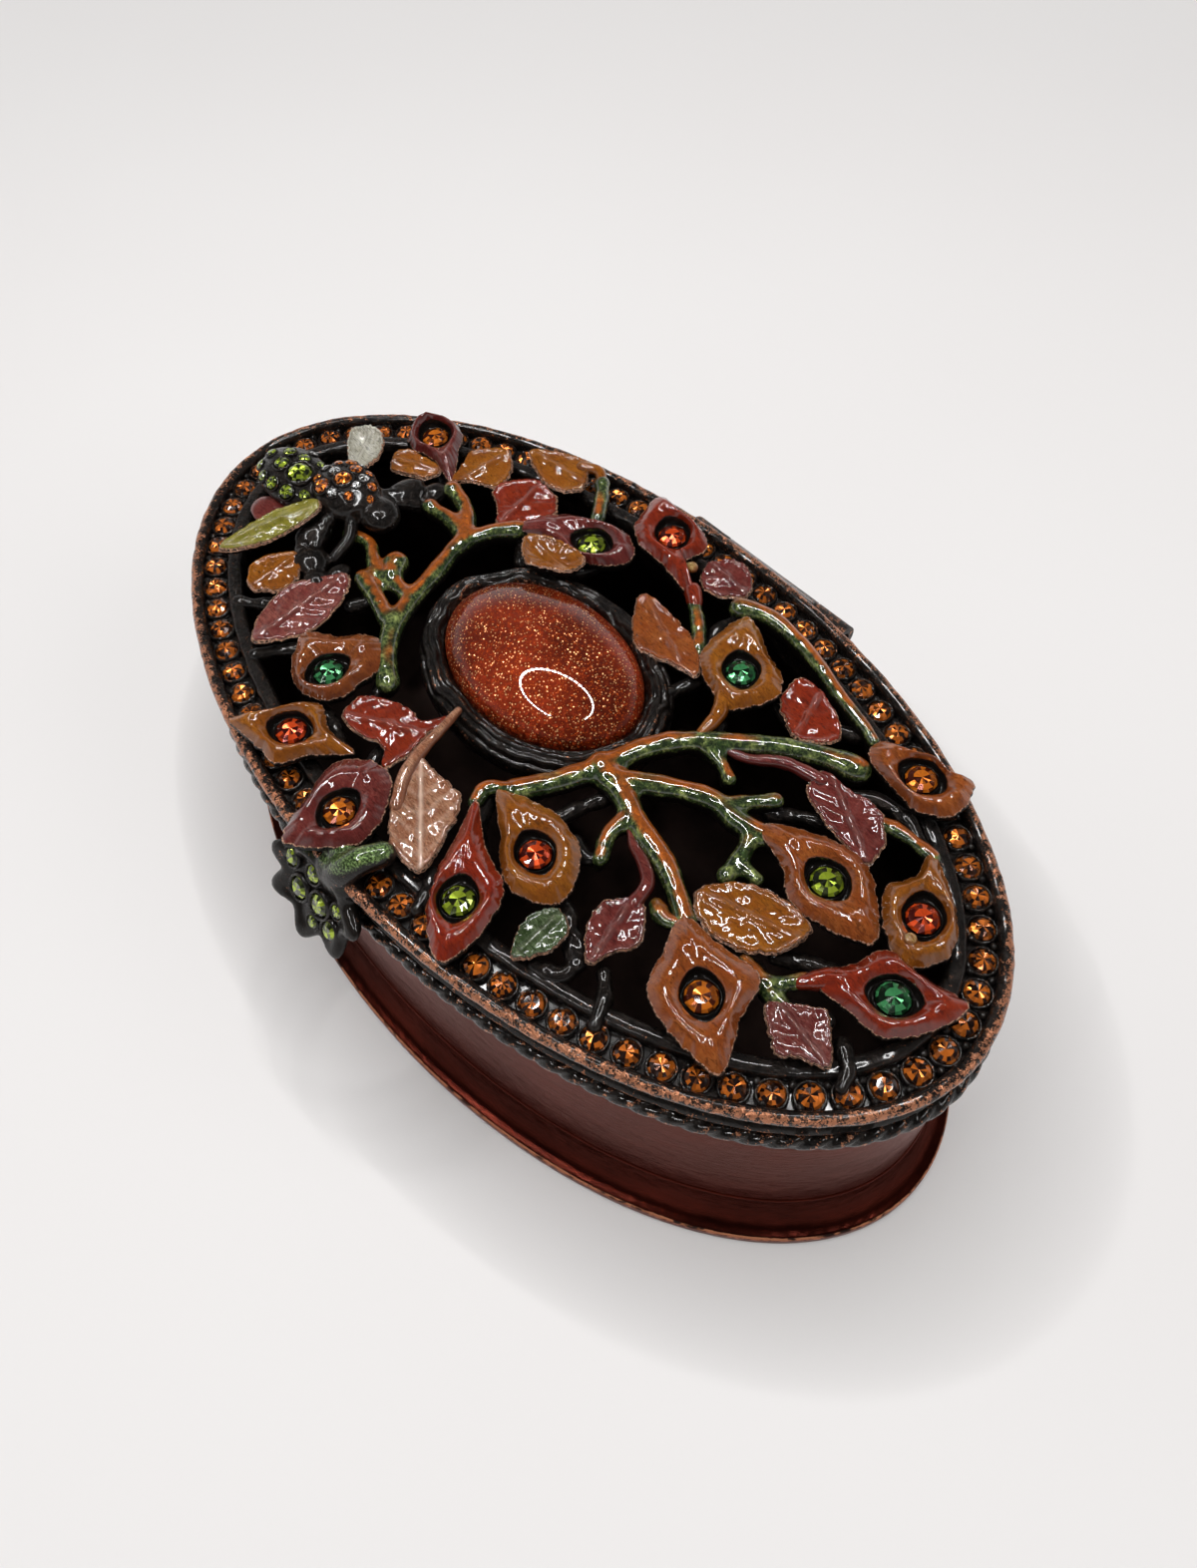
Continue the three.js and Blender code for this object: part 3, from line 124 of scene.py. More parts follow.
# The floor's side in metres, the distances in millimetres between which it fades into the
# surround, and the surround's colour and strengths at the horizon and overhead
FLOOR_SIDE = 6
FADE_START = 150
FADE_END = 450
SURROUND = 0xFBF9F8
HORIZON_STRENGTH = 0.85
OVERHEAD_STRENGTH = 0.07

# The camera's place in millimetres, its azimuth, elevation and roll in degrees, and its lens
CAMERA_PLACE = (58.9, -42.2, 132.3)
CAMERA_TURNS = (51.36, 57.27, -3.89)
CAMERA_LENS = 27.25


def tone(code):
    """A colour written as red, green and blue bytes, as the linear values that shaders use."""
    parts = [((code >> shift) & 255) / 255 for shift in (16, 8, 0)]
    linear = [part / 12.92 if part <= 0.04045 else ((part + 0.055) / 1.055) ** 2.4
              for part in parts]
    return (*linear, 1.0)


def colour_property(name, description, code):
    """A colour that a user may change."""
    return bpy.props.FloatVectorProperty(
        name=name, description=description, subtype="COLOR", size=4, min=0, max=1,
        default=tone(code))


def length_property(name, description, millimetres):
    """A length that a user may change."""
    return bpy.props.FloatProperty(
        name=name, description=description, unit="LENGTH", subtype="DISTANCE", min=0, precision=5,
        default=millimetres * MILLIMETRE)


class TrinketSizes(bpy.types.PropertyGroup):
    """Sizes of the box's fine forms."""
    rope_radius: length_property("Rope radius", "Radius of the twisted rope moulding", 0.86)
    rope_pitch: length_property("Rope pitch", "Distance between the rope's strands", 2.3)
    bead_radius: length_property("Bead radius", "Radius of the bead on the lid's rim", 0.7)
    crystal_pitch: length_property("Crystal pitch", "Distance between border crystals", 3.1)
    crystal_radius: length_property("Crystal radius", "Radius of a border crystal", 1.2)
    stone_radius: length_property("Stone radius", "Radius of a leaf's stone", 1.55)
    leaf_crest: length_property("Leaf crest", "Rise of a jewelled leaf's swollen band", 0.85)
    ragged_edge: length_property("Ragged edge", "How far a leaf's edge strays", 0.2)
    branch_radius: length_property("Branch radius", "Radius of a branch at its thickest", 1.32)
    cast_voxel: length_property("Cast voxel", "Grain at which cast branches are fused", 0.26)


class TrinketColours(bpy.types.PropertyGroup):
    """Colours of the enamels, metals and stones."""
    body_deep: colour_property("Case, deep", "Deep tone of the case's enamel", 0x2A0D08)
    body_light: colour_property("Case, light", "Light tone of the case's enamel", 0x461911)
    copper: colour_property("Rubbed copper", "Copper where the black is rubbed through", 0xB87C5C)
    black: colour_property("Black metal", "Blackened casting", 0x1B1613)
    ochre: colour_property("Ochre", "Ochre enamel", 0x9A5410)
    brown: colour_property("Brown", "Brown enamel", 0x88421A)
    copper_enamel: colour_property("Copper enamel", "Copper-coloured enamel", 0x984816)
    brick: colour_property("Brick", "Brick-red enamel", 0x90260C)
    red: colour_property("Red", "Red enamel", 0x8C280E)
    plum: colour_property("Plum", "Plum enamel", 0x6E2622)
    rose: colour_property("Rose", "Rose enamel", 0x7C3430)
    gold: colour_property("Rose gold", "Rose-gold enamel", 0xA06244)
    green: colour_property("Green", "Green enamel of the branches", 0x2E401E)
    rust: colour_property("Rust", "Rust stripe on the branches", 0x9A4E14)
    goldstone: colour_property("Goldstone", "Ground of the goldstone", 0x6A210E)


class Signal:
    """One output of a shader node, with the arithmetic that adds Math nodes."""

    def __init__(self, finish, socket):
        self.finish = finish
        self.socket = socket

    def maths(self, operation, *values):
        return self.finish.node("ShaderNodeMath", {"operation": operation}, dict(enumerate(values)))

    def __add__(self, other):
        return self.maths("ADD", self, other)

    def __radd__(self, other):
        return self.maths("ADD", other, self)

    def __sub__(self, other):
        return self.maths("SUBTRACT", self, other)

    def __rsub__(self, other):
        return self.maths("SUBTRACT", other, self)

    def __mul__(self, other):
        return self.maths("MULTIPLY", self, other)

    def __rmul__(self, other):
        return self.maths("MULTIPLY", other, self)

    def larger(self, other):
        return self.maths("MAXIMUM", self, other)

    def step(self, start, end):
        """0 below start, 1 above end, and smooth between them."""
        sockets = {"Value": self, "From Min": start, "From Max": end, "To Min": 0.0, "To Max": 1.0}
        settings = {"interpolation_type": "SMOOTHSTEP"}
        return self.finish.node("ShaderNodeMapRange", settings, sockets)


class Finish:
    """A material, or the world, whose nodes are added by name."""

    def __init__(self, name, owner=None):
        self.material = owner or bpy.data.materials.new(name)
        self.material.use_nodes = True
        self.tree = self.material.node_tree
        self.tree.nodes.clear()

    def node(self, kind, settings=None, sockets=None, output=0):
        """Adds a node: its settings first, then the values or links of its sockets."""
        node = self.tree.nodes.new(kind)
        for name, value in (settings or {}).items():
            setattr(node, name, value)
        for key, value in (sockets or {}).items():
            if isinstance(value, Signal):
                self.tree.links.new(value.socket, node.inputs[key])
            else:
                node.inputs[key].default_value = value
        return Signal(self, node.outputs[output]) if node.outputs else None

    def vector(self, operation, *values, output="Vector"):
        """A sum on vectors."""
        settings = {"operation": operation}
        return self.node("ShaderNodeVectorMath", settings, dict(enumerate(values)), output)

    def part(self, vector, axis):
        """One part of a vector."""
        return self.node("ShaderNodeSeparateXYZ", {}, {"Vector": vector}, axis)

    def place(self, stretch=(1, 1, 1)):
        """The place on the piece in millimetres, stretched where a pattern runs one way."""
        point = self.node("ShaderNodeTexCoord", output="Object")
        return self.vector("MULTIPLY", point, tuple(PER_METRE * share for share in stretch))

    def noise(self, scale, detail=3.0, roughness=0.55, stretch=(1, 1, 1), distortion=0.0):
        """A cloudy pattern with about so many spots to the millimetre."""
        return self.node("ShaderNodeTexNoise", {}, {
            "Vector": self.place(stretch), "Scale": scale, "Detail": detail,
            "Roughness": roughness, "Distortion": distortion})

    def cells(self, scale, output="Color"):
        """Random values by little cells."""
        sockets = {"Vector": self.place(), "Scale": scale}
        return self.node("ShaderNodeTexVoronoi", {}, sockets, output)

    def attribute(self, name, output="Fac"):
        """A value kept at the mesh's points or faces."""
        return self.node("ShaderNodeAttribute", {"attribute_name": name}, output=output)

    def upward(self, direction=(0, 0, 1)):
        """How far the surface faces a direction of the piece, however the piece is turned."""
        normal = self.node("ShaderNodeTexCoord", output="Normal")
        return self.vector("DOT_PRODUCT", normal, direction, output="Value")

    def mix(self, factor, first, second):
        """Two colours mixed."""
        settings = {"data_type": "RGBA"}
        return self.node("ShaderNodeMix", settings, {0: factor, 6: first, 7: second}, 2)

    def channel(self, colour, name="Red"):
        """One channel of a colour."""
        return self.node("ShaderNodeSeparateColor", {}, {"Color": colour}, name)

    def bump(self, height, distance, strength, normal=None):
        """A relief of so many millimetres."""
        sockets = {"Height": height, "Distance": distance * MILLIMETRE, "Strength": strength}
        if normal is not None:
            sockets["Normal"] = normal
        return self.node("ShaderNodeBump", {}, sockets)

    def facets(self, random, amount):
        """A normal turned by random vectors, as by flakes or by a stone's back facets."""
        turn = self.vector("SUBTRACT", random, (0.5, 0.5, 0.5))
        turn = self.vector("MULTIPLY", turn, (amount, amount, amount))
        normal = self.node("ShaderNodeNewGeometry", output="Normal")
        return self.vector("NORMALIZE", self.vector("ADD", normal, turn))

    def surface(self, **sockets):
        """Ends the material with a Principled surface."""
        named = {key.replace("_", " "): value for key, value in sockets.items()}
        shader = self.node("ShaderNodeBsdfPrincipled", {}, named)
        self.node("ShaderNodeOutputMaterial", {}, {"Surface": shader})
        return self.material


def shade(colour, factor):
    """A colour made darker or lighter."""
    return (*[min(1.0, part * factor) for part in colour[:3]], 1.0)


def hue(name, factor=1.0):
    """A colour that a user may change, made darker or lighter."""
    return shade(getattr(bpy.context.scene.trinket_colours, name), factor)


def size_of(name):
    """A size that a user may change, in millimetres."""
    return getattr(bpy.context.scene.trinket_sizes, name) * PER_METRE


def blended(first, second, share):
    """A colour between two others."""
    return (*[a + (b - a) * share for a, b in zip(first[:3], second[:3])], 1.0)


def black_metal(name, rubbed):
    """Blackened casting, lacquered and lumpy, with copper flecks where it is rubbed."""
    finish = Finish(name)
    grain = finish.noise(1.6, 6.0, 0.65)
    lumps = finish.noise(0.9, 3.0, 0.6, distortion=0.8)
    fine = finish.noise(6.0, 3.0, 0.6)
    fleck = (grain * 0.6 + fine * 0.4 + finish.attribute("rub") * 0.21).step(rubbed, rubbed + 0.06)
    ground = finish.mix(lumps.step(0.35, 0.7), hue("black", 0.4), hue("black", 1.7))
    return finish.surface(
        Base_Color=finish.mix(fleck, ground, hue("copper")),
        Metallic=fleck * 0.4 + 0.55,
        Roughness=finish.noise(2.5) * 0.3 + 0.2,
        Specular_IOR_Level=0.15,
        Coat_Weight=0.6 - fleck * 0.4,
        Coat_Roughness=0.1,
        Normal=finish.bump(grain, 0.2, 0.8, finish.bump(lumps, 0.7, 0.8)))


def rubbed_copper(name, wear_and_sheen):
    """Copper with the black left in its hollows, mottled by wear."""
    finish = Finish(name)
    grain = finish.noise(2.2, 6.0, 0.7)
    broad = finish.noise(0.45, 3.0)
    shows = (grain * 0.65 + broad * 0.35).step(wear_and_sheen - 0.06, wear_and_sheen + 0.04)
    bright = finish.mix(finish.noise(5.0), hue("copper", 0.6), hue("copper", 1.25))
    return finish.surface(
        Base_Color=finish.mix(shows, hue("black", 1.1), bright),
        Metallic=shows * 0.3 + 0.6,
        Roughness=0.46 - shows * 0.12,
        Normal=finish.bump(grain, 0.18, 0.9))


def leaf_enamel(name, colour, light, streaks):
    """Glossy enamel over brushed metal, black below, copper where its edge is rubbed, with painted
    shade on its slopes and painted highlights along its veins.
    """
    finish = Finish(name)
    broad = finish.noise(0.45, 3.0)
    brushed = finish.noise(1.7, 8.0, 0.78, (0.8, 2.4, 1.0), 1.2)
    tint = (broad * (0.9 - streaks) + brushed * (streaks + 0.1)).step(0.42, 0.62)
    glow = finish.mix(finish.noise(0.3), shade(colour, 0.6), shade(colour, 1.25))
    glow = finish.mix(tint * 0.7, glow, light)
    scratches = finish.noise(1.5, 6.0, 0.75, (0.55, 2.6, 1.0), 1.6).step(0.5, 0.62)
    glow = finish.mix(scratches * 0.85, glow, shade(colour, 0.3))
    # Painted shade: where the enamel slopes away from up it takes a darker copy of its colour
    glow = finish.mix(finish.upward().step(0.55, 0.95), shade(colour, 0.6), glow)
    enamelled = (finish.attribute("enamel") + finish.noise(2.6, 4.0) * 0.7 - 0.35).step(0.42, 0.56)
    faces_up = finish.upward().step(-0.35, 0.0)
    covered = enamelled * faces_up
    edge = (finish.attribute("rub") + finish.noise(4.0, 4.0, 0.7) * 0.9 - 0.45).step(0.5, 0.62)
    ground = finish.mix(covered, hue("black", 0.7), glow)
    # Painted highlight: the vein attribute mixes a near-white tone onto the midrib and the ribs'
    # crests
    pale = blended(light, tone(0xFFE8D8), 0.5)
    veined = finish.mix(finish.attribute("vein") * covered, ground, pale)
    rubbed = blended(hue("copper"), tone(0xE8C4A8), 0.4)
    return finish.surface(
        Base_Color=finish.mix(edge * faces_up, veined, rubbed),
        Metallic=(edge * 0.8).larger(tint * 0.35 + 0.15),
        Roughness=0.54 - tint * 0.14,
        Specular_IOR_Level=0.08,
        Coat_Weight=covered * 0.8 + 0.2,
        Coat_Roughness=0.06,
        Coat_IOR=1.6,
        Normal=finish.bump(brushed, 0.28, 0.9, finish.bump(broad, 1.1, 0.7)))


def branch_enamel(name):
    """Green metallic enamel with painted highlights in pale patches, rust along the top of the run
    and black below.
    """
    finish = Finish(name)
    patch = finish.noise(1.1, 5.0, 0.65)
    fine = finish.noise(2.8, 5.0, 0.62)
    tint = (patch * 0.7 + fine * 0.3).step(0.38, 0.66)
    # Painted highlights: pale green and yellow-green patches, placed by noise
    wear_and_sheen = (fine * 0.4 + finish.noise(0.7, 3.0, 0.6) * 0.6).step(0.43, 0.66)
    pale = finish.mix(wear_and_sheen, hue("green", 1.45), tone(0x98A45E))
    green = finish.mix(tint, hue("green", 0.4), pale)
    side = finish.upward((-0.45, 0.45, 0.77)) + patch * 0.36 - 0.18
    rust = side.step(0.54, 0.8) * finish.noise(0.12, 2.0).step(0.34, 0.46)
    coloured = finish.mix(rust, green, finish.mix(tint, hue("rust", 0.7), hue("rust", 1.5)))
    covered = (finish.upward() + fine * 0.6 - 0.3).step(0.1, 0.4)
    fleck = (fine * 0.6 + finish.noise(2.0) * 0.4).step(0.64, 0.7) * (1 - covered * 0.7)
    ground = finish.mix(covered, hue("black", 0.8), coloured)
    return finish.surface(
        Base_Color=finish.mix(fleck, ground, hue("copper")),
        Metallic=tint * 0.3 + 0.35,
        Roughness=0.5 - tint * 0.12,
        Specular_IOR_Level=0.08,
        Coat_Weight=covered * 0.7 + 0.3,
        Coat_Roughness=0.07,
        Coat_IOR=1.8,
        Normal=finish.bump(fine, 0.05, 0.8, finish.bump(patch, 0.5, 0.8)))


def case_enamel(name):
    """Deep metallic enamel with faint brush marks, copper on the foot's edge, black inside."""
    finish = Finish(name)
    marks = finish.noise(0.9, 6.0, 0.7, (0.4, 0.4, 2.2), 0.5)
    broad = finish.noise(0.07, 3.0)
    tint = (marks * 0.3 + broad * 0.7).step(0.34, 0.68)
    enamel = finish.mix(tint, hue("body_deep"), hue("body_light"))
    outside = finish.attribute("enamel").step(0.45, 0.55)
    # Inside, where there is no enamel, the case is coloured near black
    near_black_inside = finish.mix(finish.noise(0.5), tone(0x120D0B), tone(0x241915))
    ground = finish.mix(outside, near_black_inside, enamel)
    edge = (finish.attribute("rub") + finish.noise(1.6, 5.0, 0.7) - 0.5).step(0.5, 0.6)
    dark_edge = finish.noise(0.8, 4.0).step(0.5, 0.6)
    metal = finish.mix(dark_edge, hue("copper", 0.9), hue("black", 1.2))
    return finish.surface(
        Base_Color=finish.mix(edge, ground, metal),
        Metallic=0.8 * outside,
        Roughness=0.6 - outside * 0.46 + marks * 0.18,
        Specular_IOR_Level=0.1,
        Specular_Tint=tone(0xF8D0CA),
        Normal=finish.bump(marks, 0.07, 0.7, finish.bump(finish.noise(0.35, 2.0), 0.4, 0.4)))


def crystal_glass(name, colour, glow):
    """A foil-backed stone under a clear top, its facets painted dark and bright at random as
    painted reflections.
    """
    finish = Finish(name)
    random = finish.attribute("glint", "Vector")
    # Painted reflections: each facet's random value picks the deep or the bright colour; the turned
    # normals add real glints
    share = (finish.part(random, "X") * 0.85 + finish.noise(1.4) * 0.3).step(0.42, 0.9)
    return finish.surface(
        Base_Color=finish.mix(share, shade(colour, 0.3), glow),
        Metallic=0.55,
        Roughness=0.16,
        Coat_Weight=1.0,
        Coat_Roughness=0.02,
        Normal=finish.facets(random, 0.7))


def goldstone(name):
    """Aventurine glass: copper glitter in a red-brown ground under a polished dome."""
    finish = Finish(name)
    large = (0.31 - finish.cells(3.4, "Distance")).step(0.0, 0.1)
    large = large * finish.channel(finish.cells(3.4)).step(0.2, 0.6)
    small = (0.38 - finish.cells(5.6, "Distance")).step(0.0, 0.16)
    small = small * finish.channel(finish.cells(5.6), "Green").step(0.25, 0.7)
    cloud = finish.noise(0.12, 3.0)
    ground = finish.mix(cloud.step(0.3, 0.7), hue("goldstone", 0.6), hue("goldstone", 1.7))
    warm = finish.mix(small * 0.8, ground, tone(0xC85A20))
    return finish.surface(
        Base_Color=finish.mix(large, warm, tone(0xFFC084)),
        Metallic=large * 0.4 + 0.35,
        Roughness=0.46 - large * 0.14,
        Specular_IOR_Level=0.06,
        Specular_Tint=tone(0x5A2C18),
        Coat_Weight=finish.upward().step(0.45, 0.95),
        Coat_Roughness=0.012,
        Normal=finish.facets(finish.cells(3.4), 0.8))


def deselect():
    """Leaves nothing selected."""
    bpy.ops.object.select_all(action="DESELECT")


def make_active(piece):
    """Selects one piece alone."""
    deselect()
    piece.select_set(True)
    bpy.context.view_layer.objects.active = piece


def loft(name, rings, closed=False, marks=None):
    """A skin over rings of equally many points, closed round each ring.

    closed joins the last ring to the first. marks gives named values ring by ring, or point by
    point, which are kept as attributes. A ring that shrinks to one place closes the skin's end.
    """
    columns = len(rings[0])
    chain = rings + rings[:1] if closed else rings
    deselect()
    bpy.ops.mesh.primitive_grid_add(x_subdivisions=columns, y_subdivisions=len(chain) - 1, size=1)
    piece = bpy.context.active_object
    piece.name = name
    piece.data.name = name
    places = [point for ring in chain for point in (*ring, ring[0])]
    if len(places) != len(piece.data.vertices):
        raise RuntimeError(f"{name}: {len(places)} places for {len(piece.data.vertices)} vertices")
    flat = [part * MILLIMETRE for point in places for part in point]
    piece.data.vertices.foreach_set("co", flat)
    for mark, values in (marks or {}).items():
        chained = list(values) + (list(values)[:1] if closed else [])
        layer = piece.data.attributes.new(mark, "FLOAT", "POINT")
        spread = []
        for value in chained:
            row = list(value) if isinstance(value, (list, tuple)) else [value] * columns
            spread += row + row[:1]
        layer.data.foreach_set("value", spread)
    while piece.data.uv_layers:
        piece.data.uv_layers.remove(piece.data.uv_layers[0])
    # Rows that meet are merged, open ends filled and faces turned outwards
    bpy.ops.object.mode_set(mode="EDIT")
    bpy.ops.mesh.select_all(action="SELECT")
    bpy.ops.mesh.remove_doubles(threshold=MERGED_WITHIN)
    bpy.ops.mesh.select_all(action="DESELECT")
    bpy.ops.mesh.select_mode(type="EDGE")
    bpy.ops.mesh.select_non_manifold(extend=False)
    bpy.ops.mesh.fill_holes(sides=0)
    bpy.ops.mesh.select_mode(type="VERT")
    bpy.ops.mesh.select_all(action="SELECT")
    bpy.ops.mesh.normals_make_consistent(inside=False)
    bpy.ops.object.mode_set(mode="OBJECT")
    bpy.ops.object.shade_smooth()
    return piece


def joined(name, pieces):
    """Several pieces as one."""
    deselect()
    for piece in pieces:
        piece.select_set(True)
    bpy.context.view_layer.objects.active = pieces[0]
    if len(pieces) > 1:
        bpy.ops.object.join()
    piece = bpy.context.active_object
    piece.name = name
    piece.data.name = name
    return piece


def modified(piece, kind, **settings):
    """A piece with a modifier applied."""
    make_active(piece)
    modifier = piece.modifiers.new(kind.title(), kind)
    for key, value in settings.items():
        setattr(modifier, key, value)
    bpy.ops.object.modifier_apply(modifier=modifier.name)
    return piece


def fused(piece, voxel, smoothing):
    """Overlapping runs melted into one casting."""
    modified(piece, "REMESH", mode="VOXEL", voxel_size=voxel * MILLIMETRE)
    modified(piece, "SMOOTH", factor=0.5, iterations=smoothing)
    bpy.ops.object.shade_smooth()
    return piece


def copied(master, matrices, name):
    """Copies of a master, each with its own mesh, joined; the master goes."""
    pieces = []
    for matrix in matrices:
        piece = master.copy()
        piece.data = master.data.copy()
        piece.data.transform(matrix)
        bpy.context.collection.objects.link(piece)
        pieces.append(piece)
    bpy.data.objects.remove(master)
    return joined(name, pieces)


def finished(piece, material, slot, body, *nodes, sharp=None):
    """Gives a piece its material and body, and hides the CAD nodes it stands for; slot is not used.
    """
    piece.data.materials.clear()
    piece.data.materials.append(material)
    for polygon in piece.data.polygons:
        polygon.material_index = 0
    if sharp is not None:
        make_active(piece)
        bpy.ops.object.shade_smooth_by_angle(angle=math.radians(sharp))
    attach(piece, body)
    if nodes:
        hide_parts(*nodes)


def circle(steps):
    """Cosine and sine of even turns round a circle."""
    return [(math.cos(TAU * step / steps), math.sin(TAU * step / steps)) for step in range(steps)]


def oval(angle, out, height):
    """A place on the border's oval, moved out and up."""
    return ((HALF_LENGTH + out) * math.cos(angle), (HALF_WIDTH + out) * math.sin(angle), height)


def oval_rings(profile, steps=OVAL_STEPS):
    """Ovals for a profile of distances out and heights."""
    turn = [TAU * step / steps for step in range(steps)]
    return [[oval(angle, out, height) for angle in turn] for out, height in profile]


def oval_length(out=0.0):
    """Length round the border's oval, moved out."""
    long_half, wide_half = HALF_LENGTH + out, HALF_WIDTH + out
    return math.pi * (3 * (long_half + wide_half) - math.sqrt(
        (3 * long_half + wide_half) * (long_half + 3 * wide_half)))


def reaches(points):
    """Length of a line up to each of its points."""
    reach = [0.0]
    for first, second in zip(points, points[1:]):
        reach.append(reach[-1] + (second - first).length)
    return reach


def even_angles(count):
    """Angles of places at an even pitch round the border's oval."""
    fine = 4000
    reach = reaches([Vector(oval(TAU * step / fine, 0, 0)) for step in range(fine + 1)])
    angles = []
    index = 0
    for step in range(count):
        goal = reach[-1] * step / count
        while reach[index] < goal:
            index += 1
        angles.append(TAU * index / fine)
    return angles


def grid(corner, height):
    """A grid place, with an optional lift, as a point."""
    lift = corner[2] if len(corner) > 2 else 0
    return Vector((corner[0], corner[1] * ROW_PITCH, height + lift))


def smooth_line(corners, count, closed=False):
    """Points at an even pitch on a smooth line through the corners."""
    number = len(corners)
    fine = 12
    dense = []
    for index in range(number if closed else number - 1):
        here = corners[index]
        after = corners[(index + 1) % number]
        before = corners[index - 1] if closed or index else here * 2 - after
        last = index + 2 >= number and not closed
        beyond = after * 2 - here if last else corners[(index + 2) % number]
        knots = [0.0]
        for first, second in ((before, here), (here, after), (after, beyond)):
            knots.append(knots[-1] + max((second - first).length, 0.001) ** 0.5)
        for step in range(fine):
            time = knots[1] + (knots[2] - knots[1]) * step / fine
            dense.append(knotted((before, here, after, beyond), knots, time))
    dense.append(corners[0] if closed else corners[-1])
    reach = reaches(dense)
    spans = count if closed else count - 1
    points = []
    index = 0
    for step in range(count):
        goal = reach[-1] * step / spans
        while index < len(dense) - 2 and reach[index + 1] < goal:
            index += 1
        span = reach[index + 1] - reach[index]
        points.append(dense[index].lerp(dense[index + 1], (goal - reach[index]) / span))
    return points


def grid_line(corners, height, count, closed=False):
    """Points at an even pitch on a smooth line through grid places."""
    return smooth_line([grid(corner, height) for corner in corners], count, closed)


def knotted(points, knots, time):
    """A point of a centripetal curve."""
    level = list(points)
    for depth in (1, 2):
        following = []
        for index in range(len(level) - 1):
            share = (time - knots[index]) / (knots[index + depth] - knots[index])
            following.append(level[index].lerp(level[index + 1], share))
        level = following
    share = (time - knots[1]) / (knots[2] - knots[1])
    return level[0].lerp(level[1], share)


def tube(name, points, radii, sides, marks=None):
    """A round-ended tube along points, with a radius at each."""
    tangents = []
    for index in range(len(points)):
        ahead = points[min(index + 1, len(points) - 1)]
        behind = points[max(index - 1, 0)]
        tangents.append((ahead - behind).normalized())
    side = tangents[0].cross(Vector((0, 0, 1)))
    if side.length < 0.1:
        side = tangents[0].cross(Vector((0, 1, 0)))
    side.normalize()
    rings = []
    for index, tangent in enumerate(tangents):
        side = (side - tangent * side.dot(tangent)).normalized()
        across = tangent.cross(side)
        turns = [(0, 1)]
        if index == 0:
            turns = [(-math.sin(a), math.cos(a)) for a in (TAU / 4, TAU / 6, TAU / 12, 0)]
        if index == len(tangents) - 1:
            turns = [(math.sin(a), math.cos(a)) for a in (0, TAU / 12, TAU / 6, TAU / 4)]
        for along, scale in turns:
            radius = radii[index]
            centre = points[index] + tangent * along * radius
            rings.append([tuple(centre + (side * x + across * y) * radius * scale)
                          for x, y in circle(sides)])
    values = {key: [value] * len(rings) for key, value in (marks or {}).items()}
    return loft(name, rings, marks=values)


def wobble(point, scale, seed=0.0):
    """A smooth random value from -1 to 1 at a point."""
    return noise.noise(Vector(point) * scale + Vector((seed, seed * 1.7, 0)))


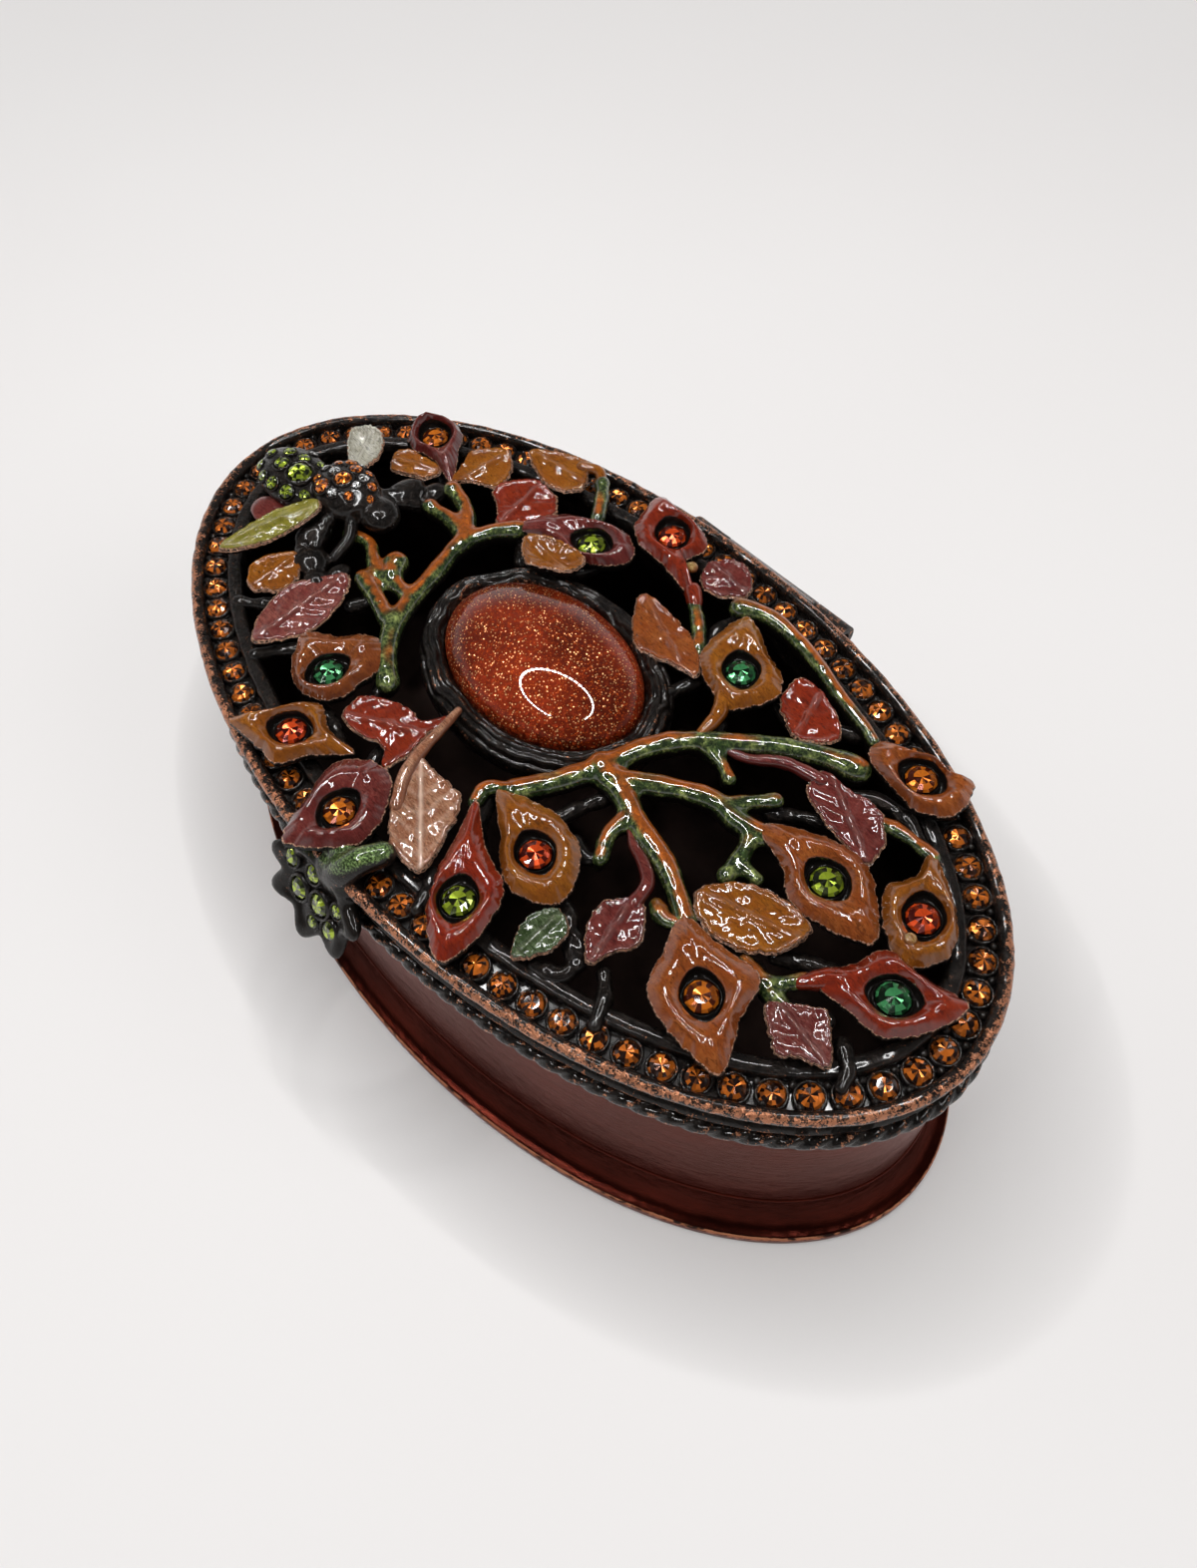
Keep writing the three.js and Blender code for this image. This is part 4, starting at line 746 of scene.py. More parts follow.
# Leaves that hold a stone: its seat and kind, the outline, and the stem where one shows.
# A corner is a column and a row of the grid, with its lift where it has one.
JEWEL_LEAVES = {
    "ochre_front_left": {"seat": (-13.8, -22.5), "stone": "red", "outline": [
        (-18.8, -26.3, 0.3), (-15, -26.1), (-11.5, -25.8), (-9.9, -22.9), (-7.2, -19.4),
        (-10.6, -19.7), (-14.6, -18.7, 0.3), (-17, -22.3)]},
    "brown_left": {"seat": (-17.3, -15.5), "stone": "emerald", "outline": [
        (-22.9, -14.4, 0.3), (-20.4, -17.9), (-16.8, -19.1), (-14.2, -17.6), (-13.7, -13.7),
        (-14.6, -10.1), (-17.6, -9.1), (-20.3, -12)]},
    "plum_front": {"seat": (-2.9, -24.4), "stone": "amber", "outline": [
        (-4, -30.3, -0.3), (-0.9, -28.2), (1.3, -25), (0.5, -21.5), (-3, -18.4), (-6, -19.2),
        (-7.7, -21.8), (-6.3, -25.6)]},
    "ochre_front_right": {"seat": (13.3, -13.8), "stone": "red", "outline": [
        (5.4, -11.8), (9.2, -14.7), (12.4, -17.2), (15.2, -17.8), (18.4, -15.6, -0.3),
        (16.6, -11), (11.8, -9.7, 0.3), (8, -10.6)]},
    "brick_front": {"seat": (12.2, -22), "stone": "olive", "outline": [
        (5, -14.1), (6.8, -17.8), (9, -22.4), (11.6, -25.3), (15.8, -27, -0.2), (16.3, -23.7),
        (14.3, -18.4), (9.8, -16.8)]},
    "copper_front_right": {"seat": (33.4, -12.4), "stone": "amber", "outline": [
        (39.2, -16.1, -0.2), (37, -11.3), (35.8, -7.7, 0.3), (30.8, -7.9), (26.8, -8.2),
        (28.2, -12.1), (30, -15.6), (33.6, -16.7)]},
    "red_right_end": {"seat": (44.4, -0.6), "stone": "emerald", "outline": [
        (49.2, 3.2, 0.5), (45.6, 2.8), (41, 2.3), (39.9, -1), (38.4, -4.2), (42.6, -4.4),
        (45.9, -4.1), (48.1, -1.5)],
        "stem": [(39.6, -3.2), (38.6, -4.6, -0.1), (37.8, -5.6, -0.3)]},
    "copper_right": {"seat": (33.2, 3.6), "stone": "olive", "outline": [
        (39.9, 2.2, -0.3), (36.9, 6), (34, 7.5), (30.2, 7), (25, 3.4), (29.6, 1.6),
        (32, -0.2), (36, 0)]},
    "ochre_right_end": {"seat": (41.3, 7), "stone": "red", "outline": [
        (45.2, 5.7), (43.8, 8.7), (40.9, 11.1), (37.5, 12.7), (38.2, 9.6), (37.1, 7.3),
        (39, 4.2), (43.2, 2.4, -0.3)]},
    "copper_back_right": {"seat": (31.9, 18.2), "stone": "amber", "outline": [
        (36.6, 17.2), (35.6, 21.1, 0.5), (33.2, 20.2), (29.8, 19.9), (26.4, 18.6),
        (26.8, 16.6), (30, 15.5), (33.6, 15.1)]},
    "ochre_back": {"seat": (11.5, 15), "stone": "emerald", "outline": [
        (16.3, 15.2, 0.3), (14.8, 17.5), (12.2, 18.5), (7.1, 20.5, 0.3), (6.6, 16.2),
        (7.4, 13.1), (11.2, 11.2), (14, 10.8)],
        "stem": [(12, 12.2), (13.6, 9.6, 0.1), (14, 6.9, 0.1)]},
    "red_back": {"seat": (-6.7, 23.1), "stone": "red", "outline": [
        (-2.7, 24.2), (-4.2, 25.6, 0.3), (-8, 25.9, 0.3), (-11.4, 26.2, 0.5), (-11.7, 23.7),
        (-9.8, 20.2), (-4.6, 19.3), (1.8, 18.3), (-2.9, 21.5)],
        "stem": [(0.4, 19.2), (1.6, 18.3), (2.6, 17.5, -0.2)]},
    "plum_back_left": {"seat": (-11.9, 15.9), "stone": "olive", "outline": [
        (-7.2, 17.6), (-9.7, 19.4, 0.3), (-14, 18.6), (-17.9, 16.2), (-19.6, 11.6),
        (-15.4, 12.6), (-11, 13.1), (-7.6, 15.6)]},
    "mauve_left_end": {"seat": (-37.4, 14.1), "stone": "amber", "outline": [
        (-30.3, 10.8, -0.3), (-33.6, 14.7), (-35.4, 16.6), (-38.4, 16.9), (-41, 14.4, 0.3),
        (-39.8, 12), (-37.6, 10.9), (-34.4, 11.5)]},
}

# Plain leaves, whose first corner is the tip that the vein runs to
PLAIN_LEAVES = {
    "leaf_rose_left": {"enamel": "rose", "outline": [
        (-26, -19, 0.3), (-23.8, -15.6), (-23, -13.4, 0.3), (-24.6, -8.5), (-26.8, -6.1),
        (-29, -8.9), (-29.8, -12.1, 0.3), (-28.6, -16.8)]},
    "leaf_ochre_left_end": {"enamel": "ochre", "outline": [
        (-32.5, -15.1, 0.2), (-30.9, -13.8), (-29.9, -12.3), (-31, -9.7), (-33.6, -8.5),
        (-35.3, -13, 0.2)]},
    "leaf_red_front": {"enamel": "red", "outline": [
        (-12, -17.6), (-8.8, -17.8), (-6.8, -17), (-5.6, -17.1), (-4.2, -18.4), (-3.5, -15.9),
        (-3.9, -13.2, 0.2), (-4, -9.9, 0.4), (-5.7, -12.2), (-8, -12.3), (-11, -13.5),
        (-12.6, -15)]},
    "leaf_rose_gold_front": {"enamel": "gold", "outline": [
        (7.4, -22.6, -0.2), (5.9, -18.2), (4.8, -16), (3.4, -14.8), (0, -14.9),
        (-2.6, -15.1), (-1.8, -18.4), (0.2, -20.7), (3.6, -23.1)],
        "stem": [(0.2, -20), (-1.8, -17.4, 0.4), (-2.9, -14.4, 0.5), (-3.6, -11.4, 0.5),
                 (-4.4, -8.8, 0.2)]},
    "leaf_plum_front_right": {"enamel": "plum", "outline": [
        (24.8, -17.5), (25.2, -15.2), (26.2, -13.1), (25, -10.9), (23.8, -9.9),
        (22.6, -10.3), (21, -12.5), (22, -15.4)],
        "stem": [(23, -10.6), (22.3, -8.2), (20.4, -7), (18.6, -6.4, -0.2), (17, -5.4, -0.2)]},
    "leaf_ochre_right": {"enamel": "ochre", "outline": [
        (25.9, -5.6), (28.6, -7.6), (32.8, -6.7), (35.5, -3.7, 0.3), (35.4, -0.8, 0.3),
        (30.6, -0.7), (28, -2.1)]},
    "leaf_mauve_right_end": {"enamel": "mauve", "outline": [
        (44.9, -9.2, 0.2), (43.6, -7.3), (41.6, -5.8, 0.3), (38.4, -7.5), (37.5, -9, 0.3),
        (39.4, -10.5), (41.1, -11.4), (42.8, -10.1)]},
    "leaf_plum_right": {"enamel": "plum", "outline": [
        (34.5, 7.6, -0.3), (34, 10.5), (31.6, 12.6, 0.3), (28, 12.5), (24.8, 12.2),
        (25.2, 9.7), (28.4, 8.3), (31.4, 7.7)],
        "stem": [(25.6, 11.4), (21.9, 10.4), (18.9, 8.2, -0.2), (16.4, 7.4, -0.2)]},
    "leaf_red_back_right": {"enamel": "red", "outline": [
        (20.6, 13.2), (23.3, 14.7, 0.3), (23.5, 16.5), (21.4, 18.1), (18.8, 19.1),
        (16, 19, 0.2), (16.3, 15.8), (18.2, 14.2)]},
    "leaf_ochre_by_cabochon": {"enamel": "ochre", "level": 0.9, "outline": [
        (-16.8, 11.1, 0.6), (-15.6, 9.1, 1), (-13, 7.8, 1.6), (-10.6, 8.7, 1.8),
        (-9, 10, 1.6), (-8.8, 12.1, 1.2), (-10.2, 13.4, 0.6), (-12.9, 13, 0.6)]},
    "leaf_red_back_left": {"enamel": "red", "outline": [
        (-21, 10.3), (-19, 12.2), (-17.8, 14.6), (-19.7, 17.6), (-23.4, 17.9, 0.3),
        (-26.1, 15, 0.2), (-26.1, 13.6), (-23.6, 12)]},
    "leaf_ochre_back_left": {"enamel": "ochre", "outline": [
        (-29.1, 18.7, 0.4), (-32.4, 15.5, 0.2), (-31, 12.5), (-30.4, 10.7), (-28.6, 12.7),
        (-26, 13.8), (-26.2, 15.8), (-27.2, 17.2)]},
    "leaf_ochre_back_edge": {"enamel": "ochre", "outline": [
        (-27.9, 20.6, 0.2), (-24.6, 19), (-21.8, 18.5), (-19.6, 19.6), (-19, 21),
        (-21.6, 24, 0.3), (-25, 22.8, 0.2)],
        "stem": [(-21.6, 23.2, 0.3), (-19.6, 24, 0.4), (-17.6, 22.6, 0.2)]},
    "leaf_ochre_by_insect": {"enamel": "ochre", "outline": [
        (-32.2, 10.9, 0.2), (-34.8, 11.1), (-37.8, 10.5), (-38.6, 9.1), (-36.8, 7.1),
        (-34.4, 8.1), (-32.8, 9)]},
    "leaf_copper_back": {"enamel": "copper", "outline": [
        (-2.8, 15, 0.3), (-1, 11.8), (2, 9.6, 0.2), (5.4, 10.6), (8.8, 11.6), (7, 13.6),
        (6, 14.2), (2.5, 15.2)]},
    "leaf_plum_back": {"enamel": "plum", "outline": [
        (4.8, 22.8), (3.6, 24.9), (1.6, 25.7, 0.3), (-0.4, 24.9), (-1.2, 22.9), (0.6, 20.4),
        (2.8, 20.8)]},
    "bud_green_front": {"enamel": "green", "outline": [
        (19.8, -22), (21.6, -18.4), (20.6, -16.2), (18.8, -15.9), (17.6, -18.6)]},
}

# Runs of the branches, each with a thickness share at its start and its end
BRANCHES = {
    "branch_right": [
        ([(6.4, -10.7), (8.6, -6.5), (10.2, -2), (11.6, 2.4), (13.8, 5.7), (16.8, 8.5),
          (20, 11.3), (24.2, 13.9), (27, 15, -0.2)], 0.9, 0.95),
        ([(11.4, -3.2), (14.6, -0.8), (17.4, 1.2), (20.4, 2.6), (23, 2.5), (26.2, 3.4, -0.2)],
         1, 0.8),
        ([(21, 2.6), (22.6, 4.9), (24.2, 6.5, 0.4)], 0.7, 0.65),
        ([(25, 3), (25.8, 0.6, -0.3), (26.4, -2.2, -0.3)], 0.7, 0.7),
        ([(25.9, -0.4, -0.3), (28.6, -0.5, -0.2)], 0.6, 0.5),
        ([(10, -2.6), (14.6, -3.6), (18.2, -4.8), (21.6, -5.5), (24.8, -6.9), (27.2, -8.2, -0.2)],
         1, 0.8),
        ([(16, -4.2), (16, -7.2, -0.2), (17.3, -9.4, -0.4)], 0.8, 0.6),
        ([(14.4, 6.2), (17.2, 6.3, -0.3), (19.3, 5.5, -0.4)], 0.6, 0.5),
    ],
    "branch_left": [
        ([(-19.4, 11.8), (-21.4, 9.1), (-22.2, 5.6), (-20.8, 1), (-19.6, -3), (-17.7, -7.1),
          (-14.6, -10.2), (-12.6, -11.6, -0.4)], 0.85, 0.9),
        ([(-29.4, 10.3, 0.2), (-26.4, 9.7), (-23.8, 7.9), (-22.2, 5.8)], 0.8, 0.8),
        ([(-29.2, 6.9), (-26, 7.3), (-23, 6.9)], 0.7, 0.8),
        ([(-32.4, -2.2, -0.2), (-29.4, -1.5), (-26, -3.2), (-22.6, -3.1), (-19.8, -3)], 0.6, 0.8),
        ([(-24.8, -1.3), (-23.8, -2.6)], 1, 0.9),
        ([(-25.6, -5.1), (-22.6, -5.7), (-19.4, -6.6), (-18, -6.8)], 0.8, 0.8),
    ],
    "branch_back": [
        ([(5.6, 21), (8.2, 22.3), (12.4, 22.2), (16.4, 21.3), (20.4, 20), (24.6, 18.9),
          (26, 18.4, -0.2)], 0.85, 0.45),
    ],
}

# Green shoots that carry leaves, and the black struts of the casting below them
SHOOTS = [
    [(1.6, 18.2, 0.1), (3.3, 17, -0.1), (5.2, 15.4, -0.2), (6.4, 14, -0.4)],
    [(-18.2, 23.2, 0.1), (-16.8, 21.9), (-14.6, 19.2, -0.2)],
    [(38, 12.5, 0.1), (35, 12.6, -0.1), (32.4, 12.2, -0.3)],
    [(38.2, -4.8, -0.2), (37, -6.4, -0.3), (35.4, -7.8, -0.4)],
    [(33.4, -7, -0.6), (36.2, -7.6, -0.5), (38.4, -7.6, -0.3)],
    [(24.2, -8.9, -0.7), (25.8, -9.4, -0.5), (27.4, -8.6, -0.3)],
    [(6.2, -10.9, 0.1), (4.4, -12.4, -0.2), (4.9, -14.1, -0.2)],
]
STRUTS = [
    [(17.2, -14.6), (19.4, -15.2), (21.4, -17), (23.1, -18), (23.2, -19.6), (21, -20.6)],
    [(20.6, -16.2), (22.2, -16.4), (23.4, -17.6)],
    [(14, -9.6), (16, -10), (17, -8.8)],
    [(10.8, -9.6), (11.5, -6.6), (12.5, -4)],
    [(4.6, -12.2), (5.6, -14), (6.6, -15.6), (8.8, -16.6)],
    [(34.3, -6.4), (36.6, -7.6), (38.8, -7), (41.6, -5.6)],
    [(27.4, 12), (30, 14.4), (33.4, 14.8), (36.4, 13.6)],
    [(44, -6.2), (45.8, -7.6), (46.4, -9)],
    [(24.2, 6), (27, 8.2), (29.6, 9.6)],
    [(16.2, 15.6), (18.4, 15.2), (20.4, 14.8)],
    [(5.4, 20.6), (5.2, 17.6), (6.6, 15.4)],
    [(-16.6, 9.6), (-18.6, 11.2), (-19.8, 13)],
    [(-12.4, 11.6), (-11, 13.6), (-10.4, 15)],
    [(8.4, 12), (7.4, 8.6), (7.8, 5.4)],
    [(13.8, 9.8), (14.6, 8), (14.4, 6)],
    [(-13.4, -12), (-12.4, -13.8), (-11.6, -15.6)],
    [(-15, -18.4), (-12.4, -18.6), (-9.6, -19.6)],
    [(-7, -17), (-6, -19), (-4.6, -20.6)],
    [(-24.4, -8), (-23.6, -5.6), (-25, -4)],
    [(-29.6, -12.4), (-31.4, -14.8), (-33.6, -16.6)],
    [(-22.6, -14.6), (-24.6, -17), (-26, -19.4)],
    [(-28.2, 10.6), (-31.2, 10.8), (-33.8, 12)],
    [(-24, 18), (-23, 20.2), (-22, 22)],
    [(-26.4, 14.4), (-28.6, 15.2), (-30.8, 14.2)],
    [(7.4, -21.6), (8.6, -23.2), (9.4, -25)],
    [(25.6, -16.6), (27.4, -18.2), (28.6, -20.4)],
    [(34.6, -4.4), (37.4, -2.6), (39.6, -1.6)],
    [(36.6, 3.6), (38.4, 4.6), (40, 5.6)],
    [(21.6, 17.4), (23.4, 18.4), (25, 19.6)],
]

# Each enamel's colour property, light tone, share of streaks, vein relief and slot
ENAMELS = {
    "ochre": ("ochre", 0xBC761E, 0.45, 0.3, "ochre_enamel"),
    "brown": ("brown", 0xB06630, 0.5, 0.4, "brown_enamel"),
    "copper": ("copper_enamel", 0xC07034, 0.5, 0.4, "copper_enamel"),
    "brick": ("brick", 0xB4441A, 0.45, 0.4, "red_enamel"),
    "red": ("red", 0xAC3E1A, 0.5, 0.6, "red_enamel"),
    "plum": ("plum", 0x9C5248, 0.6, 0.7, "plum_enamel"),
    "mauve": ("plum", 0xA46A60, 0.6, 0.7, "plum_enamel"),
    "rose": ("rose", 0xB87060, 0.6, 1.0, "plum_enamel"),
    "gold": ("gold", 0xE8B894, 0.6, 0.6, "rose_gold_enamel"),
    "green": ("green", 0x93A878, 0.6, 0.4, "branch_enamel"),
    "straw": ("ochre", 0xF0E49A, 0.2, 0.3, "ochre_enamel"),
}

# Each stone's deep colour, the bright colour of its painted facet reflections, and slot
STONES = {
    "red": (0x8C1806, 0xFF5A20, "red_glass"),
    "amber": (0x8A3006, 0xFF8C24, "orange_glass"),
    "border": (0x3E1806, 0xE87C26, "amber_glass"),
    "emerald": (0x0C3A1C, 0x4FA868, "green_glass"),
    "olive": (0x303C0A, 0xAEC436, "olive_glass"),
    "clear": (0x6A6660, 0xFFFFFF, "wing_pale"),
}

# Stones on the insect: place along and across the box in millimetres, radius and kind
INSECT_STONES = [
    (-45.6, -4.4, 0.6, "olive"), (-43.8, -5.2, 0.7, "olive"), (-41.8, -5.2, 0.8, "olive"),
    (-39.6, -4.8, 0.85, "olive"), (-42.9, -3.0, 0.9, "olive"), (-40.2, -2.4, 1.35, "olive"),
    (-44.0, -1.2, 0.75, "olive"), (-45.8, -2.6, 0.65, "olive"), (-42.0, -0.6, 0.7, "olive"),
    (-37.9, -3.6, 0.6, "olive"), (-42.8, 0.9, 0.5, "clear"), (-40.4, 0.4, 0.5, "olive"),
    (-38.9, 0.2, 0.5, "clear"), (-38.2, -1.4, 0.6, "amber"), (-36.6, -1.8, 0.95, "amber"),
    (-37.2, 0.4, 0.7, "clear"), (-38.3, 1.6, 0.6, "amber"), (-37.4, 2.6, 0.75, "amber"),
    (-35.9, 2.3, 0.8, "amber"), (-35.4, 0.3, 1.0, "amber"), (-34.9, -1.6, 0.6, "clear"),
    (-34.3, 2.2, 0.65, "clear"), (-33.9, 0.9, 0.5, "clear"), (-33.1, 2.3, 0.6, "amber"),
    (-33.3, -0.6, 0.55, "amber"), (-36.6, 3.4, 0.5, "clear"), (-34.9, 3.2, 0.5, "amber"),
    (-32.0, 1.2, 0.5, "amber"),
]
# Lumps of the insect's body and feet: middle, rise and reach
INSECT_SWELLINGS = [
    ((-42.0, -2.3), -0.1, (5.3, 3.7, 2.05)),
    ((-35.8, 0.4), 0.3, (4.3, 3.7, 2.2)),
    ((-31.2, 1.4), -0.6, (2.6, 2.3, 1.6)),
    ((-32.6, 5.6), -1.4, (1.7, 3.0, 1.3)),
    ((-30.6, 8.4), -1.8, (1.3, 1.8, 1.1)),
    ((-34.4, -5.4), -1.2, (1.7, 2.4, 1.3)),
    ((-31.9, -7.8), -1.8, (2.3, 2.0, 1.3)),
    ((-29.2, -9.0), -2.0, (1.6, 1.3, 1.1)),
    ((-28.4, -6.6), -2.1, (1.1, 1.6, 0.9)),
]
# Drops of enamel on the casting: place, height, reach and enamel
DROPS = [
    ((-1.7, 21.1), 38.5, (0.7, 0.7, 0.5), "straw"),
    ((42.0, 4.2), 38.95, (0.6, 0.6, 0.4), "straw"),
    ((-40.8, -7.1), 38.3, (2.3, 1.9, 0.6), "plum"),
]
# Border crystals set a little askew, so that they catch the lamp
BRIGHT_CRYSTALS = {66: (0.108, 0.075, 0.991), 76: (-0.049, -0.031, 0.998)}
# Corners of the insect's legs
INSECT_LEGS = [
    [(-35, -2, 0.1), (-33.4, -5.2, -1), (-31, -8.4, -1.7), (-28.4, -8.8, -2)],
    [(-34.4, 1.6, 0), (-32.6, 4.6, -0.9), (-31.6, 7, -1.6)],
    [(-36.2, -2, -0.3), (-34.8, -5.8, -1.2), (-33.2, -8.4, -1.9)],
    [(-34, 2, -0.4), (-31.8, 4.2, -1), (-30.6, 6.2, -2)],
    [(-33, -1, -0.4), (-31, -3, -1), (-30.4, -5.6, -1.8)],
]
# Each wing's deep and light tone, slot and outline
WINGS = {
    "insect_wing_front": (0x8E8628, 0xB8AE50, "wing_enamel", [
        (-38.4, -14.9, -0.8), (-36.3, -12.8, -0.5), (-35.0, -9.6, -0.3), (-34.6, -6.4, 0),
        (-34.9, -3.4, 0.3), (-36.2, -3.2, 0.3), (-37.6, -5.6, 0), (-38.5, -8.6, -0.3),
        (-38.9, -11.7, -0.6)]),
    "insect_wing_back": (0xBDB8A4, 0xE8E6DC, "wing_pale", [
        (-40.9, 8.2, 0.9), (-42.2, 6.2, 0.9), (-41, 4.6, 0.6), (-38.6, 3.2, 0.2),
        (-36.8, 3.6, 0.2), (-36.9, 6.2, 0.5), (-38.6, 8, 0.8)]),
}


def enamel(kind):
    """The enamel of that kind, made once."""
    colour, light, streaks, _, _ = ENAMELS[kind]
    name = f"enamel_{kind}"
    return bpy.data.materials.get(name) or leaf_enamel(name, hue(colour), tone(light), streaks)


def stone_glass(kind):
    """The glass of that kind, made once."""
    deep, bright, _ = STONES[kind]
    name = f"glass_{kind}"
    return bpy.data.materials.get(name) or crystal_glass(name, tone(deep), tone(bright))


def glazed(piece, kind, *nodes):
    """Finishes a piece of the lid in that enamel."""
    finished(piece, enamel(kind), ENAMELS[kind][4], "lid", *nodes)


def sparkling(piece, kind, *nodes):
    """Finishes stones of the lid, each facet with its own random vector for its sparkle."""
    noise.seed_set(GLINT_SEED)
    layer = piece.data.attributes.new("glint", "FLOAT_VECTOR", "FACE")
    layer.data.foreach_set("vector", [noise.random() for _ in range(3 * len(piece.data.polygons))])
    finished(piece, stone_glass(kind), STONES[kind][2], "lid", *nodes)


def blackened(piece, rubbed, *nodes):
    """Finishes a piece of the lid in black metal, the more rubbed the lower the share."""
    metal = black_metal(f"{piece.name}_metal", rubbed)
    finished(piece, metal, "black_metal", "lid", *nodes)


def brilliant(name, radius, depth, crown, table):
    """A round stone cut with a table and two rows of facets."""
    levels = [(0.0, -depth, 0), (1.0, 0, 0), (0.86, crown * 0.55, 1), (table, crown, 0),
              (0.0, crown, 0)]
    rings = []
    for share, height, offset in levels:
        ring = []
        for step, (x, y) in enumerate(circle(FACETS)):
            reach = radius * share * (0.965 if step % 2 == offset else 1)
            ring.append((reach * x, reach * y, height))
        rings.append(ring)
    stone = loft(name, rings)
    make_active(stone)
    bpy.ops.object.shade_flat()
    return stone


def turned(name, profile, steps, rubs=None):
    """A round form on Z from pairs of reach and height, a ring where rubs are given."""
    rings = [[(reach * x, reach * y, height) for x, y in circle(steps)]
             for reach, height in profile]
    return loft(name, rings, rubs is not None, {"rub": rubs} if rubs else None)


def swelling(middle, reach, seed):
    """A lumpy rounded form."""
    rings = []
    for row in range(17):
        polar = math.pi * row / 16
        ring = []
        for x, y in circle(32):
            way = Vector((math.sin(polar) * x, math.sin(polar) * y, math.cos(polar)))
            swell = 1 + 0.05 * wobble(way, 3.0, seed)
            ring.append(tuple(middle[i] + way[i] * reach[i] * swell for i in range(3)))
        rings.append(ring)
    return loft("swelling", rings)


def at(point, scale=1.0, direction=(0, 0, 1)):
    """A matrix in metres that puts a form's Z along a direction at a point in millimetres."""
    facing = Vector(direction).to_track_quat("Z", "Y").to_matrix().to_4x4()
    return Matrix.Translation(Vector(point) * MILLIMETRE) @ facing @ Matrix.Scale(scale, 4)


def cad_copy(name):
    """A merged copy of a CAD node."""
    piece = bpy.data.objects.new(f"{name}_refined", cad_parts[name].data.copy())
    bpy.context.collection.objects.link(piece)
    make_active(piece)
    bpy.ops.object.mode_set(mode="EDIT")
    bpy.ops.mesh.select_all(action="SELECT")
    bpy.ops.mesh.remove_doubles(threshold=MERGED_WITHIN)
    bpy.ops.mesh.normals_make_consistent(inside=False)
    bpy.ops.object.mode_set(mode="OBJECT")
    return piece


def swollen(share):
    """Rise of a jewelled leaf's band, as a share of its crest, from its hollow to its edge."""
    inner = share < CREST_AT
    rounding = 0.08
    distance = (share - CREST_AT) / (CREST_AT if inner else 1 - CREST_AT)
    fall = (math.sqrt(distance * distance + rounding) - math.sqrt(rounding)) / 0.76
    return 1 - fall * (0.7 if inner else 1.2)


def leaf_axis(edge, heart):
    """Direction in which an outline is longest."""
    offsets = [point - heart for point in edge]
    along = sum(offset.x ** 2 for offset in offsets)
    across = sum(offset.y ** 2 for offset in offsets)
    both = sum(offset.x * offset.y for offset in offsets)
    turn = 0.5 * math.atan2(2 * both, along - across)
    return Vector((math.cos(turn), math.sin(turn)))


def jewelled_leaf(name, row):
    """A leaf whose swollen band falls to an eye-shaped hollow with a round cup in it."""
    ragged = size_of("ragged_edge")
    crest = size_of("leaf_crest")
    cup = size_of("stone_radius")
    heart = grid(row["seat"], LEAF_LEVEL)
    edge = grid_line(row["outline"], LEAF_LEVEL, LEAF_STEPS, True)
    axis = leaf_axis(edge, heart)
    below = [(0.0, -1.45), (-0.9, -1.45), (-0.35, -1.25), (-0.1, -0.85), (0.03, -0.5)]
    band = [1.0, 0.97, 0.92, 0.84, 0.74, 0.63, 0.52, 0.42, 0.32, 0.22, 0.12, 0.05, 0.0]
    well = [(-0.05, -0.1), (-0.12, -0.3), (-0.16, -0.8)]
    seat = [(cup + 0.24, -0.83), (cup + 0.23, -0.45), (cup + 0.17, -0.36), (cup + 0.09, -0.4),
            (cup + 0.05, -0.55), (cup + 0.04, -1.0), (0.0, -1.0)]
    columns = []
    for point in edge:
        out = (point - heart).xy
        way = out.normalized()
        stray = wobble(point, 0.9) + 0.8 * wobble(point, 2.6, 3.0) + 0.5 * wobble(point, 6.0)
        reach = max(out.length + ragged * stray, cup + 1.0)
        along = abs(way.dot(axis))
        lateral = abs(way.x * axis.y - way.y * axis.x)
        eye = 1 / ((along / (cup + 0.95)) ** 1.7 + (lateral / (cup + 0.42)) ** 1.7) ** (1 / 1.7)
        eye = min(max(eye, cup + 0.36), reach - 0.5)
        lift = point.z - heart.z

        def spot(radius, rise):
            """A point of the leaf out from its heart along this way."""
            drop = lift * (radius / reach) ** 2
            return (heart.x + way.x * radius, heart.y + way.y * radius, heart.z + drop + rise)

        column = [spot(0 if change == 0 else reach + change, rise) for change, rise in below]
        for share in band:
            radius = eye + (reach - eye) * share
            place = Vector((heart.x + way.x * radius, heart.y + way.y * radius, 0))
            ridge = 0.2 * math.exp(-(lateral * radius / 0.4) ** 2) * math.sin(math.pi * share)
            wave = 0.12 * wobble(place, 0.5, 7.0) + 0.035 * wobble(place, 2.4, 2.0)
            column.append(spot(radius, crest * swollen(share) + ridge + wave))
        column += [spot(max(eye + change, cup + 0.26), rise) for change, rise in well]
        columns.append(column + [spot(radius, rise) for radius, rise in seat])
    enamelled = [0] * 5 + [0.1, 0.5, 0.85] + [1] * 8 + [0.85, 0.5] + [0] * 10
    rubs = [0, 0, 0, 0.1, 0.3, 0.5, 0.6, 0.25] + [0] * 9 + [0.25]
    rubs += [0] * 4 + [0.15, 0.4, 0.15] + [0] * 3
    leaf = loft(f"{name}_body", list(zip(*columns)), marks={"enamel": enamelled, "rub": rubs})
    return with_stem(leaf, row, LEAF_LEVEL - 0.4, 0.95)


def with_stem(leaf, row, height, radius):
    """A leaf joined to its stem, where it has one."""
    if "stem" not in row:
        return leaf
    points = grid_line(row["stem"], height, STEM_STEPS)
    radii = [radius * (1 - 0.45 * (index / (STEM_STEPS - 1)) ** 2 + 0.14 * wobble(point, 0.9))
             for index, point in enumerate(points)]
    return joined(leaf.name, [leaf, tube("stem", points, radii, 14, {"enamel": 1.0, "rub": 0.0})])


